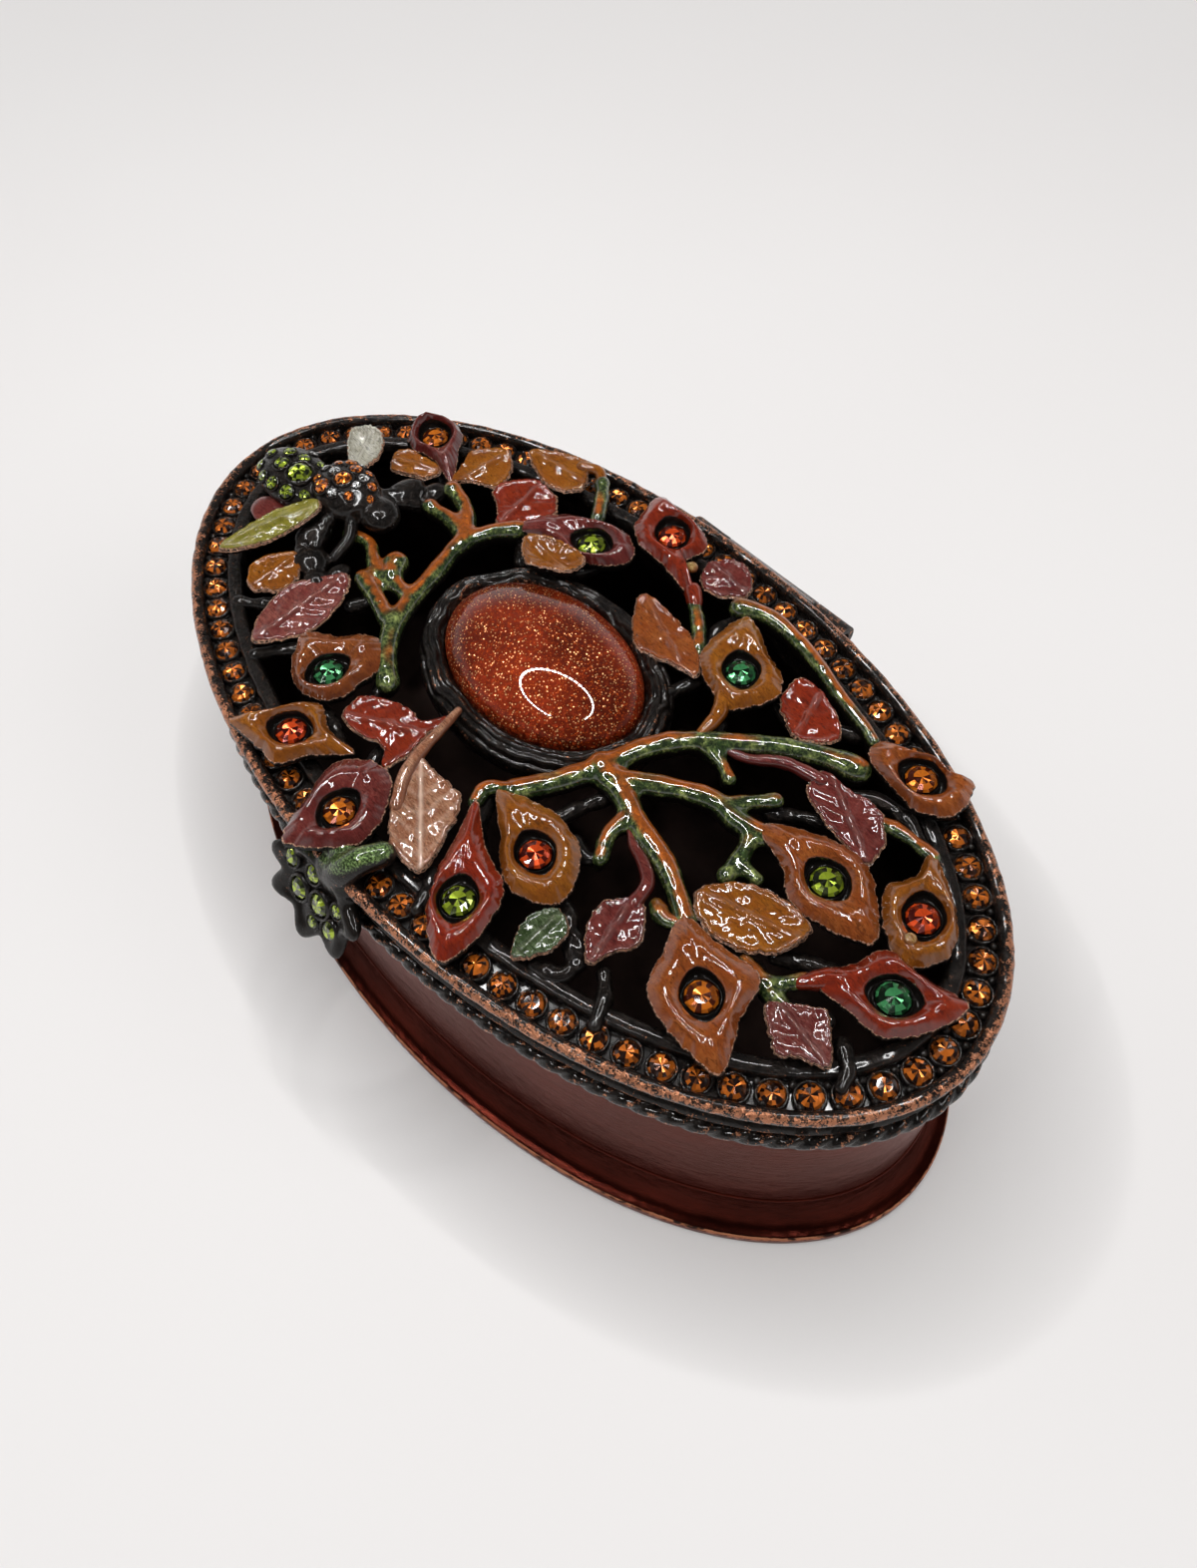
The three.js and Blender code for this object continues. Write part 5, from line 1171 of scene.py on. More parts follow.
def plain_leaf(name, row):
    """A leaf with a ragged raised edge, a folded blade and veins."""
    ragged = size_of("ragged_edge")
    relief = ENAMELS[row["enamel"]][3]
    # Strength of the painted highlight on the midrib and the ribs' crests, strongest on the
    # rose-gold leaf
    vein_highlight = 0.8 if row["enamel"] == "gold" else 0.12 * relief
    level = PLAIN_LEVEL + row.get("level", 0)
    edge = grid_line(row["outline"], level, LEAF_STEPS, True)
    heart = sum(edge, Vector()) / len(edge)
    heart.z = level
    tip = (edge[0] - heart).xy.normalized()
    below = [(0.0, -1.1), (-0.7, -1.1), (-0.25, -0.9), (-0.04, -0.6), (0.04, -0.3)]
    blade = [1.0, 0.97, 0.93, 0.87, 0.8, 0.72, 0.64, 0.55, 0.46, 0.37, 0.28, 0.19, 0.1, 0.0]
    columns, ribs, veins = [], [], []
    for point in edge:
        out = (point - heart).xy
        way = out.normalized()
        stray = wobble(point, 0.9, 5.0) + 0.9 * wobble(point, 2.6, 9.0) + 0.6 * wobble(point, 6.0)
        reach = out.length + ragged * stray
        lift = point.z - heart.z
        column, marks, pale = [], [], [0.0] * len(below)
        for change, rise in below:
            radius = 0 if change == 0 else reach + change
            drop = lift * (radius / reach) ** 2
            column.append((heart.x + way.x * radius, heart.y + way.y * radius,
                           heart.z + drop + rise))
            marks.append(0.9 if (change, rise) == below[-1] else 0.0)
        for share in blade:
            radius = reach * share
            spot = Vector((heart.x + way.x * radius, heart.y + way.y * radius, 0))
            along = way.dot(tip) * radius
            aside = abs(way.x * tip.y - way.y * tip.x) * radius
            vein = 0.34 * math.exp(-(aside / 0.35) ** 2) * (1 - share ** 4)
            rib = math.sin(TAU * (along * 0.8 + aside * 0.75) / 1.7 + wobble(spot, 0.6))
            rim = 0.22 * math.exp(-((share - 0.93) / 0.05) ** 2) - 0.3 * max(0, share - 0.95) / 0.05
            fold = -0.1 * relief * aside
            wave = 0.16 * wobble(spot, 0.45, 4.0) + 0.05 * wobble(spot, 2.2, 1.0)
            rise = vein + 0.1 * relief * rib * (1 - share ** 6) + rim + fold + wave
            column.append((spot.x, spot.y, heart.z + lift * share ** 2 + rise))
            wear_and_sheen = 0.62 if share > 0.95 else 0.14 * relief * max(0, rib)
            marks.append(0.5 if share == 1 else wear_and_sheen)
            # Painted highlight on the midrib and the tops of the ribs, kept in the vein attribute
            pale.append(vein_highlight * (math.exp(-(aside / 0.2) ** 2) + 0.4 * max(0, rib) ** 4))
        columns.append(column)
        ribs.append(marks)
        veins.append(pale)
    rings, rubs, veined = (list(zip(*rows)) for rows in (columns, ribs, veins))
    enamelled = [0] * 5 + [0.1, 0.5] + [1] * 12
    leaf = loft(f"{name}_body", rings, marks={"enamel": enamelled, "rub": rubs, "vein": veined})
    return with_stem(leaf, row, level - 0.4, 0.72)


def moulded_run(name, corners, level, start, end, seed, radius):
    """One run of a branch, with the swellings of a cast twig and knobs at its ends."""
    points = grid_line(corners, level, 14 * len(corners))
    radii = []
    for index, point in enumerate(points):
        share = index / (len(points) - 1)
        swell = 1 + 0.13 * wobble(point, 0.55, seed) + 0.07 * wobble(point, 1.7, seed)
        knob = 0.16 * (math.exp(-(share / 0.06) ** 2) + math.exp(-((1 - share) / 0.06) ** 2))
        radii.append(radius * (start + (end - start) * share) * (swell + knob))
    pieces = [tube(name, points, radii, 14)]
    under = [point + Vector((0.5 * wobble(point, 0.4, seed), -0.35, -0.85)) for point in points]
    thin = [0.62 * value * (1 + 0.3 * wobble(point, 0.8, seed + 5))
            for value, point in zip(radii, under)]
    pieces.append(tube(f"{name}_under", under, thin, 10))
    return joined(name, pieces)


class TRINKET_OT_case(bpy.types.Operator):
    """Adds the enamelled oval case with its flared foot and inner lip"""
    bl_idname = "trinket.case"
    bl_label = "Case"

    def execute(self, context):
        foot = [(2.6, 0.0), (4.2, 0.0), (4.42, 0.12), (4.5, 0.4), (4.5, 1.4), (4.4, 1.78),
                (4.25, 1.95)]
        quarter = [TAU / 4 * k / 10 for k in range(11)]
        cove = [(1.6 + 2.5 * (1 - math.sin(a)), 2.0 + 4.9 * (1 - math.cos(a))) for a in quarter]
        step = [(1.75, 7.0), (1.8, 7.15), (1.75, 7.3), (1.6, 7.4)]
        wall = [(1.6, 12.0), (1.62, 18.0), (1.6, 24.0), (1.6, 28.9), (1.5, 29.2), (1.2, CASE_TOP)]
        inside = [(-0.3, CASE_TOP), (-0.3, 31.0), (-0.5, 31.2), (-1.1, 31.2), (-1.3, 31.0),
                  (-1.3, 27.7), (-0.3, 26.7), (-0.3, 3.2), (-0.6, 2.3), (-1.5, 1.8)]
        profile = foot + cove + step + wall + inside
        enamelled = [0, 0] + [1] * (len(profile) - len(inside) - 2) + [0] * len(inside)
        rubs = [0, 0.1, 0.3, 0.35, 0.55, 0.8, 0.4] + [0] * len(cove) + [0.05] * len(step)
        rubs += [0] * (len(wall) + len(inside))
        case = loft("case", oval_rings(profile), marks={"enamel": enamelled, "rub": rubs})
        finished(case, case_enamel("case_enamel"), "body_enamel", "base", "base_shell", sharp=50)
        copper = rubbed_copper("hinge_copper", 0.56)
        for node, name in (("base_hinge_knuckles", "case_knuckles"), ("hinge_pin", "pin")):
            piece = modified(cad_copy(node), "BEVEL", width=0.18 * MILLIMETRE, segments=3,
                             limit_method="ANGLE", angle_limit=math.radians(35))
            piece.name = name
            finished(piece, copper, "rubbed_copper", "base", node, sharp=40)
        return {"FINISHED"}


class TRINKET_OT_lid_ring(bpy.types.Operator):
    """Adds the lid's ring with its rope moulding, ridge, hollow band, bead and channel"""
    bl_idname = "trinket.lid_ring"
    bl_label = "Lid ring"

    def execute(self, context):
        bead = size_of("bead_radius")
        turn = [math.radians(angle) for angle in range(-110, 176, 22)]
        round_bead = [(BEAD_OUT + bead * math.cos(angle), BEAD_LEVEL + bead * math.sin(angle))
                      for angle in turn]
        below = [(0.0, LID_BOTTOM), (1.7, LID_BOTTOM), (1.9, 29.9), (1.9, 31.0), (1.7, RIDGE_LEVEL),
                 (2.0, 31.36), (2.12, 31.55), (2.08, 31.8), (1.6, BAND_LEVEL),
                 (1.25, 32.3), (1.08, 33.0), (1.04, 33.8), (1.15, 34.6), (1.4, 35.2)]
        channel = [(1.36, 35.6), (1.32, CHANNEL_LEVEL), (-1.4, CHANNEL_LEVEL), (-1.46, 35.9)]
        inner = [(-1.6, 36.3), (-1.85, 36.42), (-2.75, 36.42), (-3.02, 36.25), (-3.15, 35.8),
                 (-3.15, 33.7), (-2.9, 33.55), (-0.75, 33.0), (0.0, 32.4)]
        profile = below + round_bead + channel + inner
        rubs = [0, 0, 0, 0, 0.1, 0.3, 0.55, 0.3, 0, 0, 0, 0, 0, 0.1]
        rubs += [0.05, 0.1, 0.15, 0.25, 0.4, 0.6, 0.75, 0.8, 0.75, 0.6, 0.4, 0.25, 0.15]
        rubs += [0.1, 0, 0, 0.05, 0.1, 0.1, 0.1, 0.05, 0, 0, 0, 0, 0]
        # Cast metal strays a little from its drawing, and most where nobody filed it, inside
        rings = oval_rings(profile, LID_STEPS)
        for row, (ring, rub) in enumerate(zip(rings, rubs)):
            stray = 0.15 if row > len(profile) - len(inner) else 0.05 + 0.08 * rub
            for index, point in enumerate(ring):
                drift = (wobble(point, 1.1), wobble(point, 1.1, 4.0), wobble(point, 0.9, 8.0))
                ring[index] = tuple(part + stray * way for part, way in zip(point, drift))
        ring = loft("lid_ring_body", rings, True, {"rub": rubs})
        ring = joined("lid_ring", [ring, self.knuckle()])
        metal = black_metal("lid_metal", 0.62)
        finished(ring, metal, "black_metal", "lid", "lid_frame", sharp=60)
        finished(self.rope(), metal, "black_metal", "lid")
        return {"FINISHED"}

    def rope(self):
        """A twisted cord round the lid's foot, three strands to the turn."""
        radius = size_of("rope_radius")
        turns = round(oval_length(ROPE_OUT) / size_of("rope_pitch") / 3)
        rings, marks = [], []
        for index, angle in enumerate(even_angles(ROPE_STEPS)):
            twist = TAU * turns * index / ROPE_STEPS
            ring, rub = [], []
            for side in range(18):
                around = TAU * side / 18
                strand = abs(math.cos(1.5 * (around - twist)))
                reach = radius * (0.6 + 0.4 * strand ** 0.6)
                out, up = reach * math.cos(around), reach * math.sin(around)
                ring.append(oval(angle, ROPE_OUT + out, ROPE_LEVEL + up))
                rub.append(0.55 * strand ** 4)
            rings.append(ring)
            marks.append(rub)
        return loft("lid_rope", rings, True, {"rub": marks})

    def knuckle(self):
        """The lid's knuckle: a barrel on the hinge's axis and the arm that carries it."""
        low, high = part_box("hinge_pin")
        axis_y = (low[1] + high[1]) / 2 * PER_METRE
        axis_z = (low[2] + high[2]) / 2 * PER_METRE
        arm = [(26.3, 31.7), (axis_y - 1.8, axis_z + 1.5), (axis_y - 1.3, axis_z),
               (axis_y + 1.2, axis_z + 1.2), (axis_y - 0.9, 32.9), (26.3, 33.9)]
        # Each way out from the axis ends at the barrel or at the arm, whichever is further
        outline = []
        for way in circle(48):
            reach = KNUCKLE_RADIUS
            for first, second in zip(arm, arm[1:] + arm[:1]):
                ay, az = first[0] - axis_y, first[1] - axis_z
                by, bz = second[0] - first[0], second[1] - first[1]
                cross = way[0] * bz - way[1] * by
                if abs(cross) < 0.00001:
                    continue
                distance = (ay * bz - az * by) / cross
                share = (ay * way[1] - az * way[0]) / cross
                if distance > 0 and 0 <= share <= 1:
                    reach = max(reach, distance)
            outline.append((reach * way[0], reach * way[1]))
        rings = []
        flat = KNUCKLE_HALF - 0.15
        for x, grow in ((-KNUCKLE_HALF, 0), (-KNUCKLE_HALF, 0.9), (-flat, 1), (flat, 1),
                        (KNUCKLE_HALF, 0.9), (KNUCKLE_HALF, 0)):
            rings.append([(x, axis_y + y * grow, axis_z + z * grow) for y, z in outline])
        return loft("lid_knuckle", rings, marks={"rub": [0.4] * len(rings)})


class TRINKET_OT_border(bpy.types.Operator):
    """Adds the border's crystals with their settings and the grains between them"""
    bl_idname = "trinket.border"
    bl_label = "Border crystals"

    def execute(self, context):
        radius = size_of("crystal_radius")
        angles = even_angles(int(oval_length() / size_of("crystal_pitch")))
        crystal = brilliant("border_stone", radius, 0.45, 0.5, 0.56)
        places = []
        for index, angle in enumerate(angles):
            lean = Vector((wobble((index, 0, 0), 0.37), wobble((index, 0, 0), 0.53, 5.0), 6))
            if index in BRIGHT_CRYSTALS:
                lean = Vector(BRIGHT_CRYSTALS[index])
            places.append(at(oval(angle, 0, CHANNEL_LEVEL + 0.6), 1, lean))
        sparkling(copied(crystal, places, "border_stones"), "border", "border_crystals")
        cup = [(0.02, 0), (0.26, 0), (0.3, 0.5), (0.18, 0.72), (0.04, 0.7), (0.0, 0.5)]
        setting = turned("setting", [(radius + out, height) for out, height in cup], 20,
                         [0, 0, 0.1, 0.45, 0.5, 0.2])
        feet = [at(oval(angle, 0, CHANNEL_LEVEL)) for angle in angles]
        settings = copied(setting, feet, "settings")
        grain = turned("grain", [(0, -0.3), (0.3, -0.2), (0.4, 0.1), (0.26, 0.34), (0, 0.42)], 8)
        halfway = [angle + (angles[1] - angles[0]) / 2 for angle in angles]
        spots = [at(oval(angle, out, CHANNEL_LEVEL + 0.5))
                 for angle in halfway for out in (-GRAIN_OUT, GRAIN_OUT)]
        grains = copied(grain, spots, "grains")
        blackened(joined("border_settings", [settings, grains]), 0.66)
        return {"FINISHED"}


class TRINKET_OT_cabochon(bpy.types.Operator):
    """Adds the domed goldstone and the bark-like ring that holds it"""
    bl_idname = "trinket.cabochon"
    bl_label = "Cabochon"

    def execute(self, context):
        across, back = CABOCHON_PLACE
        long_half, wide_half = CABOCHON_HALF
        foot = CABOCHON_LEVEL
        quarter = [TAU / 4 * k / 26 for k in range(1, 27)]
        levels = [(0, foot), (0.97, foot), (1.0, foot + 0.3), (1.0, foot + 1.5)]
        levels += [(math.cos(a), foot + 1.6 + DOME_RISE * math.sin(a)) for a in quarter]
        dome = loft("goldstone", [
            [(across + long_half * share * x, back + wide_half * share * y, height)
             for x, y in circle(DOME_STEPS)] for share, height in levels])
        finished(dome, goldstone("goldstone"), "goldstone", "lid", "cabochon")
        outer = [(0.2, foot + 1.9), (0.9, foot + 2.5), (1.5, foot + 2.45), (2.1, foot + 2.05),
                 (2.7, foot + 1.35), (3.0, foot + 0.4)]
        crown = smooth_line([Vector((out, 0, height)) for out, height in outer], 34)
        seat = [(-1.6, foot - 0.8), (-1.6, foot), (0.05, foot), (0.08, foot + 1.3)]
        start, end = len(seat), len(seat) + len(crown)
        profile = seat + [(point.x, point.z) for point in crown]
        profile += [(2.9, foot - 0.5), (2.3, foot - 0.8)]
        rings, marks = [], []
        for row, (out, height) in enumerate(profile):
            ring, mark = [], []
            for x, y in circle(BEZEL_STEPS):
                way = Vector((x * 5, y * 5, 0))
                drift = 2.6 * wobble(way, 0.55) + 1.4 * wobble(way, 1.5, 3.0)
                strand = abs(math.sin(math.pi * out / 0.8 + drift)) ** 0.7
                knot = wobble(way, 0.9, 8.0)
                relief = (0.42 * strand - 0.3 + 0.4 * knot) if start <= row < end else 0.0
                relief *= min(1.0, (row - start + 1) / 3, (end + 1 - row) / 4)
                ring.append((across + (long_half + out + relief * 0.25) * x,
                             back + (wide_half + out + relief * 0.25) * y, height + relief))
                mark.append(max(0.0, 0.9 * strand ** 3 + 0.6 * knot - 0.2))
            rings.append(ring)
            marks.append(mark)
        blackened(loft("bark_ring", rings, True, {"rub": marks}), 0.7, "cabochon_bezel")
        return {"FINISHED"}


class TRINKET_OT_branches(bpy.types.Operator):
    """Adds the three branches, their runs fused as in one casting"""
    bl_idname = "trinket.branches"
    bl_label = "Branches"

    def execute(self, context):
        material = branch_enamel("branch_enamel")
        radius = size_of("branch_radius")
        for name, runs in BRANCHES.items():
            level = BACK_BRANCH_LEVEL if name == "branch_back" else BRANCH_LEVEL
            pieces = [moulded_run(f"{name}_run", corners, level, start, end, index * 3.1, radius)
                      for index, (corners, start, end) in enumerate(runs)]
            branch = fused(joined(f"{name}_cast", pieces), size_of("cast_voxel"), 14)
            finished(branch, material, "branch_enamel", "lid", name)
        shoots = self.runs("shoots_cast", SHOOTS, BRANCH_LEVEL + 0.3, 0.82)
        finished(shoots, material, "branch_enamel", "lid")
        blackened(self.runs("struts_cast", STRUTS, BRANCH_LEVEL - 1.3, 0.8), 0.74)
        return {"FINISHED"}

    def runs(self, name, lines, level, radius):
        """Short knobbly runs, melted together where they meet."""
        pieces = []
        for index, line in enumerate(lines):
            points = grid_line(line, level, 10 * len(line))
            radii = [radius * (1 + 0.35 * wobble(point, 0.7, index)) for point in points]
            pieces.append(tube("run", points, radii, 12))
        return fused(joined(name, pieces), 0.24, 3)


class TRINKET_OT_jewelled_leaves(bpy.types.Operator):
    """Adds the leaves that hold stones, and their cut stones"""
    bl_idname = "trinket.jewelled_leaves"
    bl_label = "Jewelled leaves"

    def execute(self, context):
        for name, row in JEWEL_LEAVES.items():
            glazed(jewelled_leaf(f"leaf_{name}", row), name.split("_")[0], f"jewel_leaf_{name}")
            stone = brilliant(f"cut_stone_{name}", size_of("stone_radius"), 0.5, 0.42, 0.52)
            stone.data.transform(at(grid(row["seat"], STONE_FLOOR + 0.5)))
            sparkling(stone, row["stone"], f"stone_{name}")
        return {"FINISHED"}


class TRINKET_OT_plain_leaves(bpy.types.Operator):
    """Adds the plain leaves, the bud and the small drops of enamel"""
    bl_idname = "trinket.plain_leaves"
    bl_label = "Plain leaves"

    def execute(self, context):
        for name, row in PLAIN_LEAVES.items():
            glazed(plain_leaf(f"cast_{name}", row), row["enamel"], name)
        for index, (place, height, reach, kind) in enumerate(DROPS):
            drop = swelling(grid(place, height), reach, index)
            drop.name = f"drop_{index}"
            enamelled = drop.data.attributes.new("enamel", "FLOAT", "POINT")
            enamelled.data.foreach_set("value", [1.0] * len(drop.data.vertices))
            glazed(drop, kind)
        return {"FINISHED"}


class TRINKET_OT_insect(bpy.types.Operator):
    """Adds the jewelled insect with its legs, stones and wings"""
    bl_idname = "trinket.insect"
    bl_label = "Insect"

    def execute(self, context):
        pieces = [swelling(grid(centre, INSECT_LEVEL + rise), reach, index)
                  for index, (centre, rise, reach) in enumerate(INSECT_SWELLINGS)]
        for index, line in enumerate(INSECT_LEGS):
            points = grid_line(line, INSECT_LEVEL, 30)
            radii = [0.8 + 0.35 * wobble(point, 0.7, index) for point in points]
            pieces.append(tube("leg", points, radii, 10))
        blackened(fused(joined("insect_cast", pieces), 0.2, 3), 0.74, "insect_body")
        by_kind, settings = {}, []
        ring = turned("claw", [(1, -0.5), (1.22, -0.5), (1.28, 0.1), (1.1, 0.34), (1, 0.2)], 12,
                      [0, 0, 0.2, 0.6, 0.3])
        for x, y, radius, kind in INSECT_STONES:
            height, facing = self.top(x, y)
            by_kind.setdefault(kind, []).append(at((x, y, height + radius * 0.12), radius, facing))
            settings.append(at((x, y, height), radius, facing))
        for kind, matrices in by_kind.items():
            master = brilliant(f"insect_{kind}", 1.0, 0.35, 0.42, 0.55)
            sparkling(copied(master, matrices, f"insect_stones_{kind}"), kind)
        blackened(copied(ring, settings, "insect_claws"), 0.7)
        for name, (deep, light, slot, outline) in WINGS.items():
            row = {"enamel": "ochre", "level": WING_LEVEL - PLAIN_LEVEL, "outline": outline}
            wing = plain_leaf(f"cast_{name}", row)
            glaze = leaf_enamel(f"{name}_enamel", tone(deep), tone(light), 0.4)
            finished(wing, glaze, slot, "lid", name)
        return {"FINISHED"}

    def top(self, x, y):
        """Height and slope of the insect's back at a place."""
        best = None
        for centre, rise, reach in INSECT_SWELLINGS:
            middle = grid(centre, INSECT_LEVEL + rise)
            across = (x - middle.x) / reach[0]
            along = (y - middle.y) / reach[1]
            left = 1 - across ** 2 - along ** 2
            bulge = math.sqrt(max(left, 0.04))
            height = middle.z + reach[2] * bulge
            facing = Vector((across / reach[0], along / reach[1], bulge / reach[2]))
            if best is None or (left > 0 and height > best[0]):
                best = (height, facing.normalized())
        return best


def tab_place(along, forward, rise):
    """A place on the leaning thumb tab: along it, behind its middle, and above it."""
    x, y, z = TAB_PLACE
    return (x + along, y + forward + rise * TAB_LEAN, z + rise)


def tab_metal(name):
    """Black casting with green metallic enamel along the top of the neck."""
    finish = Finish(name)
    grain = finish.noise(1.6, 5.0, 0.65)
    fine = finish.noise(4.5, 4.0, 0.7)
    height = finish.part(finish.place(), "Z")
    top = (finish.upward() + fine * 0.7 - 0.35).step(0.45, 0.8) * height.step(35.8, 37.4)
    green = finish.mix(fine.step(0.42, 0.66), hue("green", 0.5), tone(0x84A060))
    fleck = (grain * 0.5 + fine * 0.5).step(0.6, 0.66)
    ground = finish.mix(top, finish.mix(grain, hue("black", 0.3), hue("black", 1.2)), green)
    return finish.surface(
        Base_Color=finish.mix(fleck, ground, hue("copper")),
        Metallic=0.55,
        Roughness=0.5 - top * 0.15,
        Specular_IOR_Level=0.12,
        Coat_Weight=top * 0.5 + 0.4,
        Coat_Roughness=0.07,
        Coat_IOR=1.6,
        Normal=finish.bump(grain + fine * 0.4, 0.2, 0.8))


class TRINKET_OT_thumb_tab(bpy.types.Operator):
    """Adds the lobed, jewelled thumb tab on its trumpet neck"""
    bl_idname = "trinket.thumb_tab"
    bl_label = "Thumb tab"

    def execute(self, context):
        profile = [(1.4, 0.0), (1.4, 0.5), (1.1, 0.72), (0.3, 0.92), (-0.4, 1.0), (-0.8, 1.0),
                   (-1.1, 0.93), (-1.2, 0.84), (-0.9, 0.74), (-0.5, 0.66), (-0.45, 0.0)]
        plaque = []
        for depth, share in profile:
            ring = []
            for k, (x, y) in enumerate(circle(TAB_STEPS)):
                lobe = math.cos(7 * (TAU * k / TAB_STEPS) - TAU / 4)
                petal = 1 + 0.12 * lobe + 0.05 * wobble((k * 0.12, share, 0), 1.0)
                ring.append(tab_place(TAB_HALF[0] * share * petal * x, depth - 0.3 * lobe * share,
                                      TAB_HALF[1] * share * petal * y))
            plaque.append(ring)
        pieces = [loft("plaque", plaque)]
        neck = [(3.9, -23.9, 38.3), (3.0, -25.8, 38.2), (2.2, -27.0, 37.2), (1.4, -27.4, 35.8),
                (0.6, -27.4, 34.4)]
        points = smooth_line([Vector(place) for place in neck], NECK_STEPS)
        radii = [1.25 + 0.8 * (index / (NECK_STEPS - 1)) ** 1.5 for index in range(NECK_STEPS)]
        pieces.append(tube("neck", points, radii, 20))
        pieces.append(swelling(tab_place(1.4, 0.9, 2.4), (3.4, 2.0, 2.3), 4))
        pieces.append(swelling(tab_place(0.9, 1.4, 4.0), (2.6, 1.6, 1.9), 6))
        body = fused(joined("tab_cast", pieces), 0.22, 3)
        finished(body, tab_metal("tab_metal"), "black_metal", "lid", "thumb_tab")
        seats = [(-4.0, 1.3, 1.0), (-1.9, -0.7, 1.25), (-0.6, 1.9, 1.0), (1.3, -0.2, 1.3),
                 (3.4, -1.6, 1.1), (3.6, 0.9, 0.8), (0.9, -2.6, 0.8)]
        facing = Vector((0, -1, TAB_LEAN))
        places = [at(tab_place(x, -0.6, z), size, facing) for x, z, size in seats]
        stone = brilliant("tab_stone", 1.0, 0.4, 0.45, 0.55)
        sparkling(copied(stone, places, "tab_stones"), "olive")
        ring = turned("tab_claw", [(1, -0.6), (1.25, -0.6), (1.3, 0.1), (1.14, 0.4), (1, 0.25)], 16,
                      [0, 0, 0.2, 0.5, 0.3])
        blackened(copied(ring, places, "tab_claws"), 0.72)
        return {"FINISHED"}


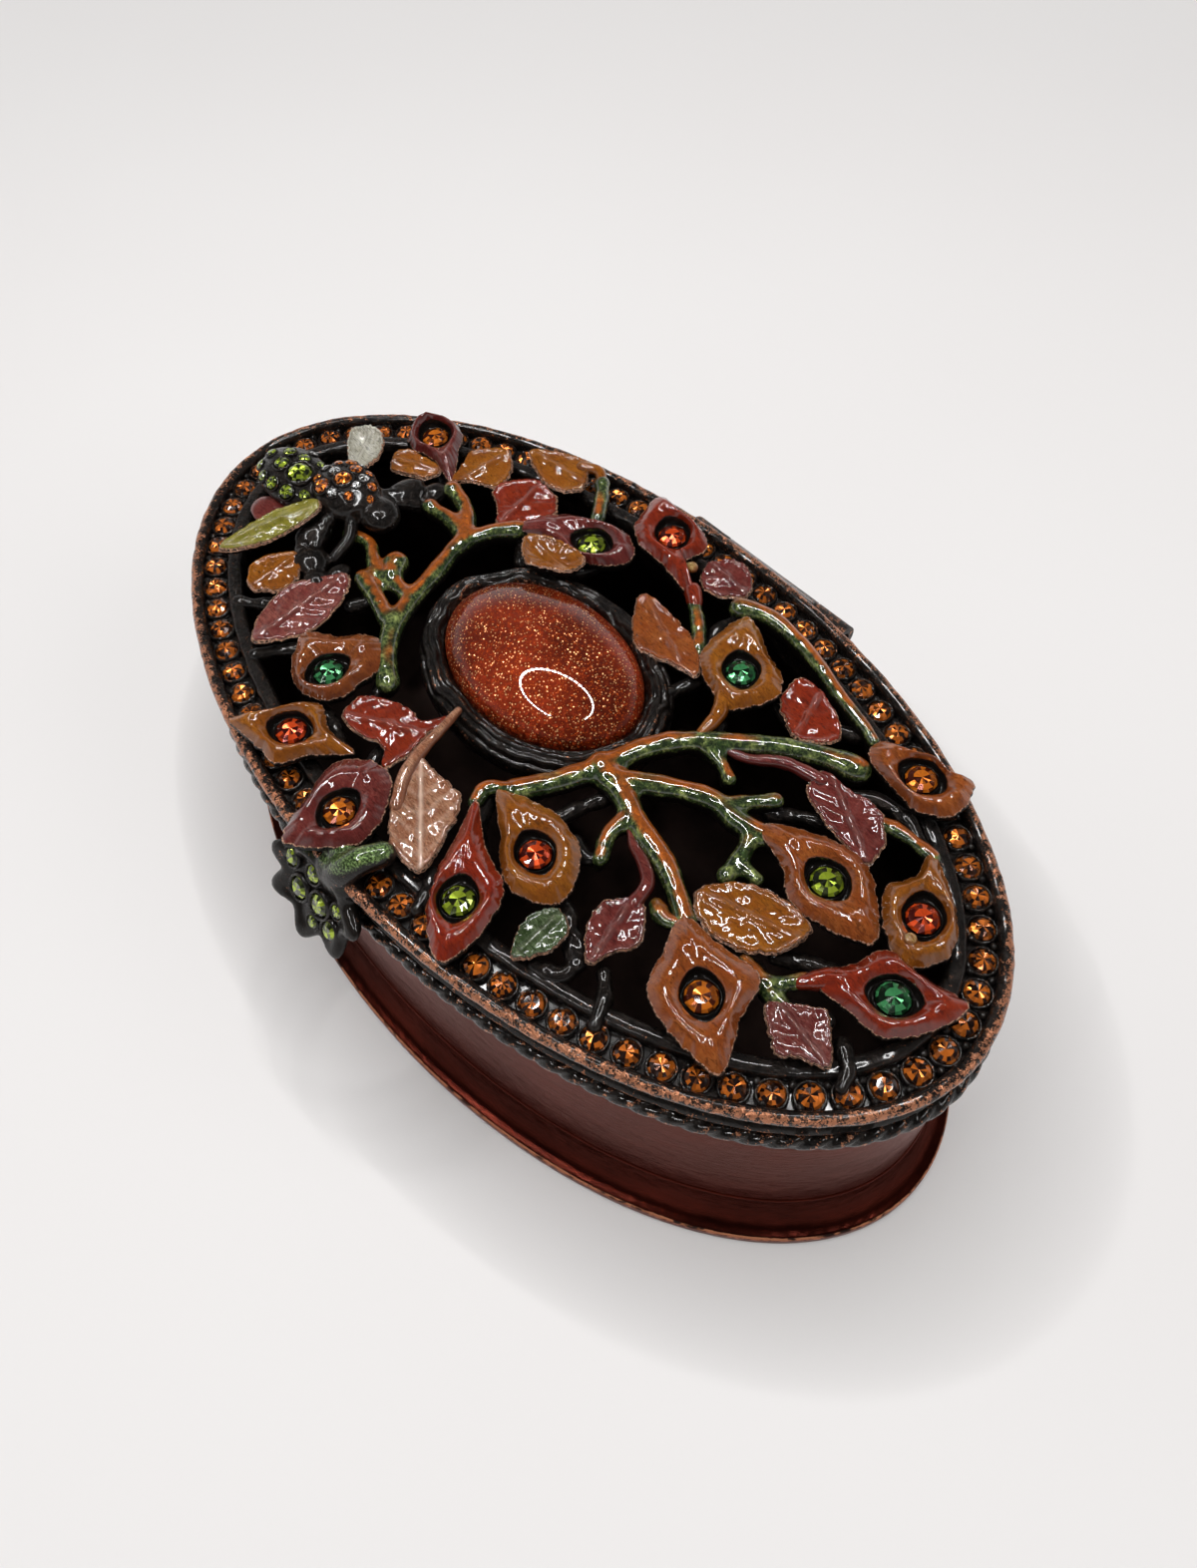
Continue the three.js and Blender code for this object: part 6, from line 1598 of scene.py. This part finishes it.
class TRINKET_OT_stage(bpy.types.Operator):
    """Adds the pale floor and surround, the soft lamps, the ring lamp's arc and the camera"""
    bl_idname = "trinket.stage"
    bl_label = "Stage"

    def execute(self, context):
        deselect()
        bpy.ops.mesh.primitive_plane_add(size=FLOOR_SIDE, location=(0, 0, 0))
        floor = context.active_object
        floor.name = "floor"
        paper = Finish("paper")
        tint = paper.mix(paper.noise(0.01, 2.0), tone(0xE4E1E0), tone(0xE8E6E5))
        near = paper.node("ShaderNodeBsdfPrincipled", {}, {
            "Base Color": tint, "Roughness": 0.85, "Specular IOR Level": 0.1})
        camera, glossy, through = (
            paper.node("ShaderNodeLightPath", output=f"Is {ray} Ray")
            for ray in ("Camera", "Glossy", "Transmission"))
        away = paper.vector("LENGTH", paper.place(), output="Value")
        fade = away.step(FADE_START, FADE_END) * (camera + glossy + through)
        far = paper.node("ShaderNodeEmission", {}, {
            "Color": tone(SURROUND), "Strength": HORIZON_STRENGTH})
        sheet = paper.node("ShaderNodeMixShader", {}, {0: fade, 1: near, 2: far})
        paper.node("ShaderNodeOutputMaterial", {}, {"Surface": sheet})
        floor.data.materials.append(paper.material)
        self.sky(context)
        for name, place, side, power in LAMPS:
            lamp = self.lamp(name, place, (side, side), power)
            lamp.visible_glossy = False
        self.ring_lamp()
        self.camera(context)
        return {"FINISHED"}

    def lamp(self, name, place, size, power):
        """A rectangular lamp aimed at the box."""
        deselect()
        bpy.ops.object.light_add(type="AREA", location=place)
        lamp = bpy.context.active_object
        lamp.name = name
        lamp.data.shape = "RECTANGLE"
        lamp.data.size, lamp.data.size_y = size
        lamp.data.energy = power
        aim = Vector((0, 0, 0.03)) - Vector(place)
        lamp.rotation_euler = aim.to_track_quat("-Z", "Y").to_euler()
        lamp.visible_camera = False
        return lamp

    def ring_lamp(self):
        """A ring lamp with a gap, as an arc of small lamps, whose reflection shows on gloss."""
        x, y, z = RING_MIDDLE
        for index in range(RING_LAMPS):
            angle = math.radians(3 + 280 * index / (RING_LAMPS - 1))
            place = (x + RING_RADIUS * math.cos(angle), y + RING_RADIUS * math.sin(angle), z)
            lamp = self.lamp(f"ring_lamp_{index:02d}", place, (0.018, 0.01), RING_POWER)
            lamp.rotation_euler.rotate_axis("Z", angle + TAU / 4 - lamp.rotation_euler.z)

    def sky(self, context):
        """A pale surround, dimmer overhead than at the horizon."""
        context.scene.world = bpy.data.worlds.new("surround")
        surround = Finish("surround", context.scene.world)
        way = surround.node("ShaderNodeTexCoord", output="Generated")
        rise = surround.part(way, "Z").step(0.15, 0.5)
        low, high = (
            surround.node("ShaderNodeBackground", {}, {
                "Color": tone(SURROUND), "Strength": strength})
            for strength in (HORIZON_STRENGTH, OVERHEAD_STRENGTH))
        glow = surround.node("ShaderNodeMixShader", {}, {0: rise, 1: low, 2: high})
        surround.node("ShaderNodeOutputWorld", {}, {"Surface": glow})

    def camera(self, context):
        """The camera at the photograph's viewing angle."""
        eye = Vector(CAMERA_PLACE) * MILLIMETRE
        azimuth, elevation, roll = (math.radians(angle) for angle in CAMERA_TURNS)
        flat = math.cos(elevation)
        back = Vector((math.sin(azimuth) * flat, -math.cos(azimuth) * flat, math.sin(elevation)))
        right = (-back).cross(Vector((0, 0, 1))).normalized()
        up = right.cross(-back)
        side = right * math.cos(roll) + up * math.sin(roll)
        top = up * math.cos(roll) - right * math.sin(roll)
        data = bpy.data.cameras.new("camera")
        data.lens = CAMERA_LENS
        data.sensor_width = 36
        data.clip_start = 0.005
        camera = bpy.data.objects.new("camera", data)
        context.collection.objects.link(camera)
        turn = Matrix((side, top, back)).transposed().to_4x4()
        camera.matrix_world = Matrix.Translation(eye) @ turn
        context.scene.camera = camera
        context.scene.view_settings.view_transform = "Standard"


class TRINKET_PT_panel(bpy.types.Panel):
    """Lists the pieces of the trinket box and their sizes and colours"""
    bl_idname = "TRINKET_PT_panel"
    bl_label = "Trinket box"
    bl_space_type = "VIEW_3D"
    bl_region_type = "UI"
    bl_category = "Trinket box"

    def draw(self, context):
        layout = self.layout
        for operator in PIECES:
            layout.operator(operator.bl_idname)
        for group in (context.scene.trinket_sizes, context.scene.trinket_colours):
            for key in group.__annotations__:
                layout.prop(group, key)


PIECES = (
    TRINKET_OT_stage,
    TRINKET_OT_case,
    TRINKET_OT_lid_ring,
    TRINKET_OT_border,
    TRINKET_OT_cabochon,
    TRINKET_OT_branches,
    TRINKET_OT_jewelled_leaves,
    TRINKET_OT_plain_leaves,
    TRINKET_OT_insect,
    TRINKET_OT_thumb_tab,
)
CLASSES = (TrinketSizes, TrinketColours, *PIECES, TRINKET_PT_panel)


def register():
    for made in CLASSES:
        bpy.utils.register_class(made)
    bpy.types.Scene.trinket_sizes = bpy.props.PointerProperty(type=TrinketSizes)
    bpy.types.Scene.trinket_colours = bpy.props.PointerProperty(type=TrinketColours)


def unregister():
    del bpy.types.Scene.trinket_colours
    del bpy.types.Scene.trinket_sizes
    for made in reversed(CLASSES):
        bpy.utils.unregister_class(made)


def main():
    """Builds every piece."""
    register()
    for operator in PIECES:
        group, name = operator.bl_idname.split(".")
        getattr(getattr(bpy.ops, group), name)()


if __name__ == "__main__":
    main()
